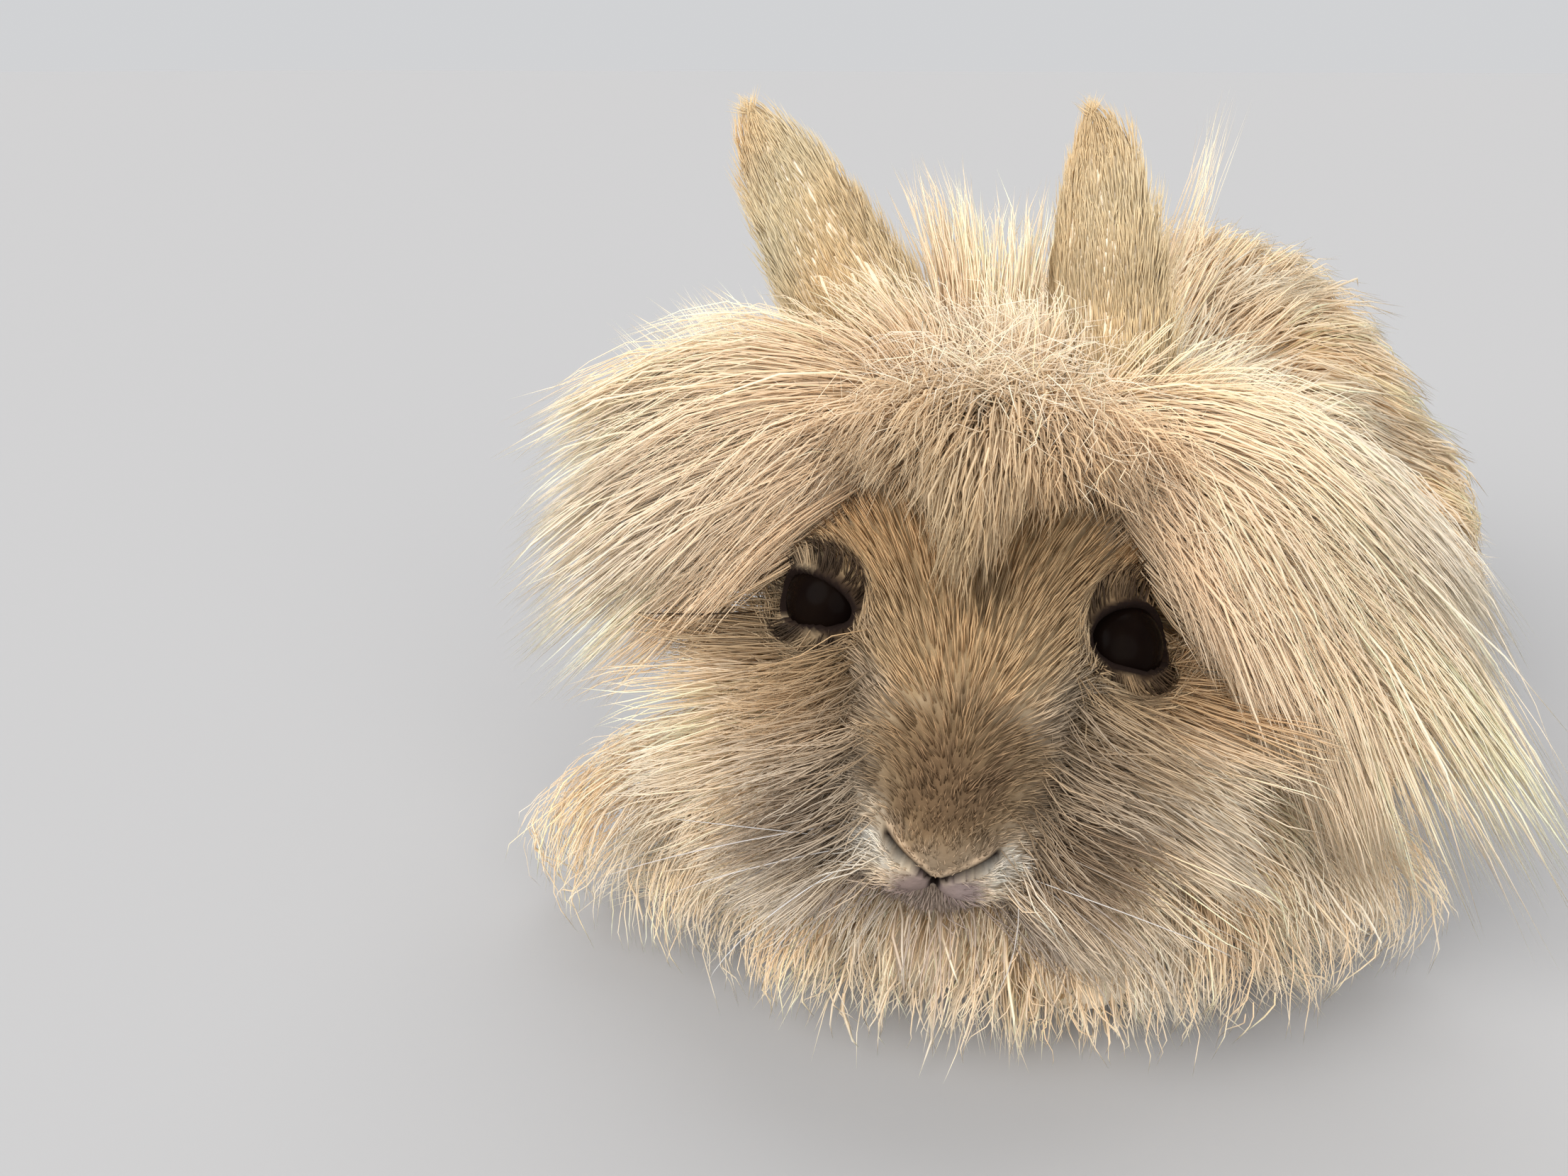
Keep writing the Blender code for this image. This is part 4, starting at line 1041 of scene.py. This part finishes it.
def comb_short(forms):
    """Shorter fur on the paws, hind feet and tail."""
    hair = Hair("coat_short", "body_coat", CREAM)
    for name, count, reach, lean in (
        ("foreleg_left", 500, 0.007, (0.12, -1.2, -0.36)),
        ("foreleg_right", 500, 0.007, (-0.12, -1.2, -0.36)),
        ("hindleg_left", 700, 0.009, (0.36, -0.96, -0.6)),
        ("hindleg_right", 700, 0.009, (-0.36, -0.96, -0.6)),
        ("tail", 1100, 0.018, (0.0, 1.2, 0.6)),
    ):
        points, faces = forms[name]
        roots = scattered(points, faces, count, lambda p: p[:, 2] > 0.001)
        spines, away = sprung(roots, points.mean(axis=0), lean, 0.8, reach, least=0.7, lift=0.0015)
        hair.add(waved(clumped(spines, roots, 18, 0.55), 0.0006), away, 0.00048)
    return hair


def clear_of_ears(spines):
    """Which hairs in the world keep clear of both ears' walls."""
    at = np.linspace(0, spines.shape[1] - 1.001, 14)
    first = at.astype(int)
    share = (at - first)[None, :, None]
    along = spines[:, first] * (1 - share) + spines[:, first + 1] * share
    kept = np.ones(len(spines), dtype=bool)
    for word in SIDES:
        for level in EAR_LEVELS:
            for point in ear_section(word, level, 0, 8)[0]:
                kept &= ((along - np.array(point)) ** 2).sum(axis=2).min(axis=1) > EAR_CLEAR**2
    return kept


def ring_hair(hair, count, width, ring, pull, start, long, curl=0.0012):
    """Hair that radiates from a middle in blended rings, upright as the mane or flat as the ruff and bib.

    Each hair starts within the first share of its guide and is about as long as told. The pull makes locks.
    """
    rings, middle, reach, spread, upright = ring
    matrix = HEAD_FRAME if upright else FRONT_FRAME
    level = DRAW.uniform(0, len(rings) - 1, count)
    around = spread * DRAW.uniform(-0.5, 0.5, count)
    reaches = DRAW.uniform(0.88, 1.03, (count, 1, 1))
    if upright:
        reaches *= 1 - MANE_DIP * np.exp(-((around / MANE_DIP_SPREAD) ** 2))[:, None, None]
    else:
        reaches *= np.interp(np.degrees(around), *RUFF_SHARES)[:, None, None]
    guide = between(rings, level) * np.concatenate([reaches, np.ones((count, 1, 1))], axis=2)
    turn = around[:, None] + DRAW.normal(0, 0.05, (count, 1)) * np.linspace(0, 1, 3)[None]
    share = guide[:, :, 0]
    height = guide[:, :, 1] + DRAW.normal(0, 0.0012, (count, 1))
    across = middle[0] + reach[0] * share * np.sin(turn)
    if upright:
        places = np.stack([across, height, middle[1] + reach[1] * share * np.cos(turn)], axis=2)
        out = np.stack([0.4 * np.sin(around), np.full(count, -1.0), 0.4 * np.cos(around)], axis=1)
    else:
        places = np.stack([across, middle[1] - reach[1] * share * np.cos(turn), height], axis=2)
        out = np.stack([0.45 * np.sin(around), -0.45 * np.cos(around), np.ones(count)], axis=1)
    spines = curved(places, spans(count, 5, start, long))
    spines = drifted(in_world(matrix, spines), 0.003, 0.022)
    spines = clumped(spines, spines[:, 1], max(4, count // 150), pull)
    spines = clumped(spines, spines[:, 1], max(2, count // 1200), 0.25)
    hair.add(waved(spines, curl), turned(matrix, unit(out)), width, off_ears=upright)


def comb_ruff():
    """The ruff on the floor round the head, and the bib over the paws."""
    hair = Hair("coat_ruff", "body_coat", CREAM)
    ruff = (RUFF_RINGS, RUFF_MIDDLE, RUFF_REACH, RUFF_SPREAD, False)
    bib = (BIB_RINGS, RUFF_MIDDLE, RUFF_REACH, BIB_SPREAD, False)
    ring_hair(hair, 700, 0.0007, ruff, pull=0.72, start=0.5, long=0.6, curl=0.0007)
    ring_hair(hair, 5700, 0.00034, ruff, pull=0.72, start=0.5, long=0.6, curl=0.0008)
    ring_hair(hair, 300, 0.0007, bib, pull=0.45, start=0.68, long=0.34, curl=0.001)
    ring_hair(hair, 4900, 0.00032, bib, pull=0.45, start=0.7, long=0.34, curl=0.0009)
    return hair


def comb_mane():
    """The mane behind the head, the hair between the ears and the two wisps beside the left one."""
    hair = Hair("coat_mane", "mane", CREAM)
    mane = (MANE_RINGS, MANE_MIDDLE, MANE_REACH, MANE_SPREAD, True)
    ring_hair(hair, 600, 0.0008, mane, pull=0.6, start=0.45, long=0.65)
    ring_hair(hair, 4900, 0.00034, mane, pull=0.6, start=0.45, long=0.65)
    fan_hair(hair, 620, 5, EAR_GAP, 0.0003, thick=0.014, pull=0.6, start=0.35, long=0.75)
    fan_hair(hair, 36, 5, WISP, 0.00024, thick=0.004, pull=0.7, start=0.0, long=1.0)
    return hair


def fan_hair(
    hair, count, stations, guides, width, thick, pull, start, long,
    mirror=1, ends=None, gold=None, clear=False,
):
    """Hair of the head from one guide to the next, rooted along the first part of the way, in a thick layer.

    Gold is the share of golden tips at each guide, for hair that may lie before the ears. Clear hair keeps
    off the opening of the eye on its side.
    """
    at = DRAW.uniform(0, len(guides) - 1, count)
    places = between(guides * (mirror, 1, 1), at)
    away = away_from(head_field, places[:, 0])
    layer = DRAW.random((count, 1))
    places += away[:, None] * ((layer - 0.7) * thick)[:, :, None]
    places += DRAW.normal(0, 0.003 if clear else 0.0016, (count, 1, 3))
    spines = curved(places, spans(count, stations, start, long))
    drop = moved_to(-0.0008, head_field, spines[:, 0]) - spines[:, 0]
    drop *= np.minimum(1, DEEPEST / np.maximum(np.linalg.norm(drop, axis=1), 1e-6))[:, None]
    drop = drop[:, None] * (1 - smoothly(np.linspace(0, 1, stations) * 1.4))[None, :, None]
    spines = drifted(spines + drop, 0.0032, 0.02)
    if gold is not None:
        share = np.interp(at, np.arange(len(gold)), gold)[:, None, None] * np.array([[[0.0], [1.0]]])
        ends = np.array(CREAM) * (1 - share) + np.array(GOLDEN[1]) * share
    spines = clumped(spines, spines[:, 1], max(4, count // 90), pull)
    spines = clumped(spines, spines[:, 1], max(2, count // 900), 0.2)
    spines = waved(spines, 0.0011)
    outs = unit(away + np.array((0, -0.3, 0.3)))
    if clear:
        opening = slit_distance(spines.reshape(-1, 3), mirror).reshape(count, stations)
        kept = (opening.min(axis=1) > HAIR_CLEAR) & (opening[:, 0] > 3 * HAIR_CLEAR)
        spines = spines[kept]
        outs = outs[kept]
    hair.add(spines, outs, width, ends, HEAD_FRAME, gold is None)


def comb_sweep():
    """The curtains and the forelock, one sweep round the whorl of the crown."""
    hair = Hair("coat_sweep", "mane", CREAM)
    fan_hair(hair, 900, 6, SWEEP, 0.0007, thick=0.006, pull=0.6, start=0.45, long=0.62, gold=FRINGE_GOLD)
    fan_hair(hair, 8900, 6, SWEEP, 0.00033, thick=0.011, pull=0.55, start=0.45, long=0.62, gold=FRINGE_GOLD)
    fan_hair(hair, 900, 5, CROWN, 0.00032, thick=0.01, pull=0.45, start=0.25, long=0.8)
    tousle(hair, 900)
    return hair


def tousle(hair, count):
    """Loose curls that lie every way over the crown, before the ears."""
    spots = DRAW.normal(0, 1, (count, 3)) * CURL_SPREAD + np.array(CURL_MIDDLE)
    roots = moved_to(0.001, head_field, spots)
    away = away_from(head_field, roots)
    heading = flat_to(away, DRAW.normal(0, 1.0, (count, 3)) * (1, 0.8, 0))
    length = DRAW.uniform(0.012, 0.026, (count, 1))
    rise = DRAW.uniform(0.004, 0.01, (count, 1))
    middle = roots + heading * length * 0.45 + away * rise
    end = roots + heading * length + away * rise * 0.7
    end[:, 2] = np.maximum(end[:, 2], 0.036)
    spines = curved(np.stack([roots, middle, end], axis=1), np.tile(np.linspace(0, 1, 6), (count, 1)))
    spines = clumped(spines, spines[:, 3], 12, 0.5)
    hair.add(waved(spines, 0.0028), away, 0.0003, matrix=HEAD_FRAME)


def comb_cheeks():
    """The loose hair of the cheeks and temples, and the muzzle's."""
    hair = Hair("coat_cheeks", "face_coat", CREAM)
    for side in SIDES.values():
        own = {"mirror": side, "clear": True}
        fan_hair(hair, 2100, 4, CHEEK, 0.00032, thick=0.012, pull=0.4, start=0.55, long=0.52, **own)
        # The temple hair's darker olive is partly painted shade under the curtains
        fan_hair(hair, 400, 4, TEMPLE, 0.0005, thick=0.012, pull=0.5, start=0.2, long=0.8, ends=OLIVE, **own)
        fan_hair(hair, 1000, 4, MUZZLE, 0.00028, thick=0.007, pull=0.4, start=0.55, long=0.52, **own)
    return hair


def face_lie(points):
    """The lie of the face's fur: back from the nose, outwards from the bridge, and clear of the eyes."""
    far = smoothly((np.linalg.norm(points - NOSE, axis=1) - 0.008) / 0.016)[:, None]
    lie = unit(points - PHILTRUM) * (1 - far) + unit((points - BRIDGE) * (1.5, 1, 1)) * far
    low = smoothly((np.abs(points[:, 0]) - 0.006) / 0.009) * smoothly((0.013 - points[:, 2]) / 0.012)
    outwards = unit(np.sign(points[:, :1]) * (1.0, 0, 0) + np.array((0, 0.1, -0.12)))
    lie += (outwards - lie) * 0.85 * low[:, None]
    for side in SIDES.values():
        near = fading(slit_distance(points, side), 1, 0, EYE_CLEAR)[:, None]
        middle = EYE_PLACE * (side, 1, 1) + unit(SLIT_LOOK * (side, 1, 1)) * EYE_RADIUS
        lie = lie + 2.0 * near * unit(points - middle)
    return lie


def face_density(points):
    """How dense the face's short fur is: most of all near the nose, the chin and the eyes."""
    local = in_head(points)
    near = np.exp(-np.linalg.norm(local - NOSE, axis=1) / 0.028) + 0.17 + patches(local, CHIN_PATCHES)
    for side in SIDES.values():
        near += fading(slit_distance(local, side), 0.7, 0.0024, 0.008)
    return near * (local[:, 1] < 0.012) * (1 - patches(local, BARE_PATCHES))


def cheek_density(points):
    return patches(in_head(points), CHEEK_PATCHES)


def comb_face(forms):
    """Short fur over the face: it lies close, and grows long and loose over the cheeks."""
    hair = Hair("coat_face", "face_coat", CREAM)
    for count, stations, cheeks, density in ((17800, 3, 0, face_density), (5600, 4, 1, cheek_density)):
        roots = in_head(scattered(*forms["head"], count, density))
        roots = roots[np.min(openings(roots), axis=0) > ROOT_CLEAR]
        count = len(roots)
        span = np.linalg.norm(roots - NOSE, axis=1)
        loose = cheeks * patches(roots, CHEEK_PATCHES)
        length = (np.interp(span, *FACE_LENGTHS) + 0.012 * loose) * DRAW.uniform(0.7, 1.2, count)
        rise = np.interp(span, *FACE_RISE) * DRAW.uniform(0.5, 1.2, count) * (1 + 2.2 * loose)

        def lift(share):
            return -0.0002 + rise * share**0.7

        spines, outs = walk(flesh_field, roots, stations, length, lift, face_lie, 2)
        spines = waved(clumped(spines, roots, 12, 0.25 + 0.25 * cheeks), 0.00025 + 0.0007 * cheeks)
        hair.add(spines, outs, np.interp(span, *FACE_WIDTHS), matrix=HEAD_FRAME, spread=0.26)
    return hair


def comb_ears():
    """Soft short fur on the backs of the ears, a little longer along the edges and combed towards the tip."""
    hair = Hair("coat_ears", "ear_coat", OLIVE)
    rows, columns, count = 40, 24, 4000
    for word in SIDES:
        levels = 0.985 * np.arange(rows + 1) / rows
        outer = np.array([ear_section(word, level, EAR_WALL, columns)[0] for level in levels])
        wide = np.linalg.norm(outer[:, 0] - outer[:, -1], axis=1) + 0.006
        which = DRAW.choice(rows, count, p=wide[:-1] / wide[:-1].sum())
        column = DRAW.uniform(0, 1, count)
        across = column * (columns - 1e-6)
        place = across.astype(int)
        down = DRAW.random((count, 1))
        side = (across - place)[:, None]
        low = outer[which, place] * (1 - side) + outer[which, place + 1] * side
        high = outer[which + 1, place] * (1 - side) + outer[which + 1, place + 1] * side
        roots = low * (1 - down) + high * down
        opening = np.array(ear_section(word, 0.5, 0, 2)[1])
        edge = np.abs(column * 2 - 1)[:, None]
        tip = outer[rows, columns // 2]
        up = unit(tip - outer[0, columns // 2])
        out = unit(unit(roots - outer[which].mean(axis=1) + 1e-6) * edge - opening * (1 - edge**2))
        length = DRAW.uniform(0.0045, 0.008, count)[:, None] * (1 + 0.7 * edge**4)
        near_tip = ((which / rows) ** 3)[:, None]
        ways = unit(0.65 * up * (1 - 0.5 * near_tip) + (0.25 + 0.5 * near_tip) * unit(tip - roots))
        rise = (0.0005 + 0.0028 * edge**3)[:, None, :] * DRAW.uniform(0.2, 1.4, (count, 1, 1))
        shares = np.linspace(0, 1, 3)[None, :, None]
        spines = roots[:, None] + (ways * length)[:, None] * shares + out[:, None] * rise * shares**0.7
        spines = clumped(spines, roots, 12, 0.4)
        # Lighter towards the tip: the darker base is partly painted shade
        share = (which / rows)[:, None, None] ** 1.5
        ends = np.array(OLIVE) * (1 - share) + np.array(EAR_TIP) * share
        hair.add(waved(spines, 0.0003), out, 0.0003, ends, spread=0.1)
    return hair


def comb_nape(forms):
    """Long hair from the back of the neck and the throat over the shoulders, between mane and body coat."""
    hair = Hair("coat_nape", "mane", CREAM)
    for name, count, reach, lean in (
        ("neck", 3600, 0.042, (0.0, 0.8, -0.25)),
        ("throat", 1300, 0.03, (0.0, 0.6, -0.3)),
    ):
        points, faces = forms[name]
        middle = points.mean(axis=0)
        roots = scattered(points, faces, count, lambda p: smoothly((p[:, 1] - middle[1]) / 0.016 + 0.45))
        spines, away = sprung(roots, middle, lean, 0.6, reach, least=0.6, lift=0.005)
        spines[:, :, 2] -= 0.008 * np.linspace(0, 1, 4) ** 2
        spines = clumped(drifted(spines, 0.0025, 0.025), roots, max(4, count // 150), 0.6)
        low = 0.002 + 0.008 * np.repeat(DRAW.random(count), 4)
        places = spines.reshape(-1, 3)
        deep = body_field(places) < low
        deep[::4] = False
        places[deep] = moved_to(low[deep], body_field, places[deep])
        kept = clear_of_ears(spines)
        hair.add(waved(spines[kept], 0.001), away[kept], 0.00042)
    return hair


def comb_whiskers():
    """Long, thin, drooping whiskers."""
    hair = Hair("whiskers", "face_coat", WHITE)
    places = []
    for side in SIDES.values():
        for end in WHISKER_ENDS:
            for root in WHISKER_ROOTS:
                start = root + DRAW.normal(0, 0.0012, 3)
                tip = end + DRAW.normal(0, 0.005, 3)
                middle = (start + tip) / 2 + np.array((0.004, -0.006, 0.008))
                places.append(np.array([start, middle, tip]) * (side, 1, 1))
    spines = curved(np.array(places), np.tile(np.linspace(0, 1, 9), (len(places), 1)))
    outs = np.broadcast_to(np.array((0, -1.0, 0.3)), spines.shape)
    hair.add(spines, outs, 0.00024, matrix=HEAD_FRAME)
    return hair


def build_coat(forms):
    """Every part of the coat, combed in one fixed order, as joined meshes of hairs."""
    material = hair_material()
    for hair in (
        comb_body(), comb_short(forms), comb_ruff(), comb_mane(), comb_sweep(), comb_cheeks(),
        comb_face(forms), comb_ears(), comb_whiskers(), comb_nape(forms),
    ):
        hair.build(material)


def build_stage():
    """A plain pale floor and soft studio light."""
    bpy.ops.mesh.primitive_plane_add(size=60, location=(0, 0, FLOOR))
    floor = bpy.context.object
    floor.name = "floor"
    material, _, _, shader = new_material("floor", roughness=0.9, specular=0)
    shader.inputs["Base Color"].default_value = FLOOR_COLOUR
    floor.data.materials.append(material)
    scene = bpy.context.scene
    scene.view_settings.view_transform = "Standard"
    world = bpy.data.worlds.new("studio")
    scene.world = world
    world.use_nodes = True
    sky = world.node_tree.nodes["Background"]
    sky.inputs["Color"].default_value = SKY_COLOUR
    sky.inputs["Strength"].default_value = SKY_STRENGTH
    for place, angle, power, colour in LIGHTS:
        light = added("soft_light", bpy.data.lights.new("soft_light", "SUN"))
        light.data.angle = math.radians(angle)
        light.data.energy = power
        light.data.color = colour
        light.location = place
        light.rotation_euler = (LIGHT_TARGET - Vector(place)).to_track_quat("-Z", "Y").to_euler()


def build_camera():
    """The camera, at the photograph's angle."""
    camera = added("camera", bpy.data.cameras.new("camera"))
    camera.data.lens = CAMERA_LENS
    camera.data.sensor_width = 36
    camera.data.clip_start = 0.01
    camera.location = CAMERA_PLACE
    level = math.cos(CAMERA_DOWN)
    look = Vector((-math.sin(CAMERA_TURN) * level, math.cos(CAMERA_TURN) * level, -math.sin(CAMERA_DOWN)))
    camera.rotation_euler = look.to_track_quat("-Z", "Y").to_euler()
    bpy.context.scene.camera = camera


build_camera()
FORMS = build_skin()
build_eyes()
build_coat(FORMS)
build_stage()
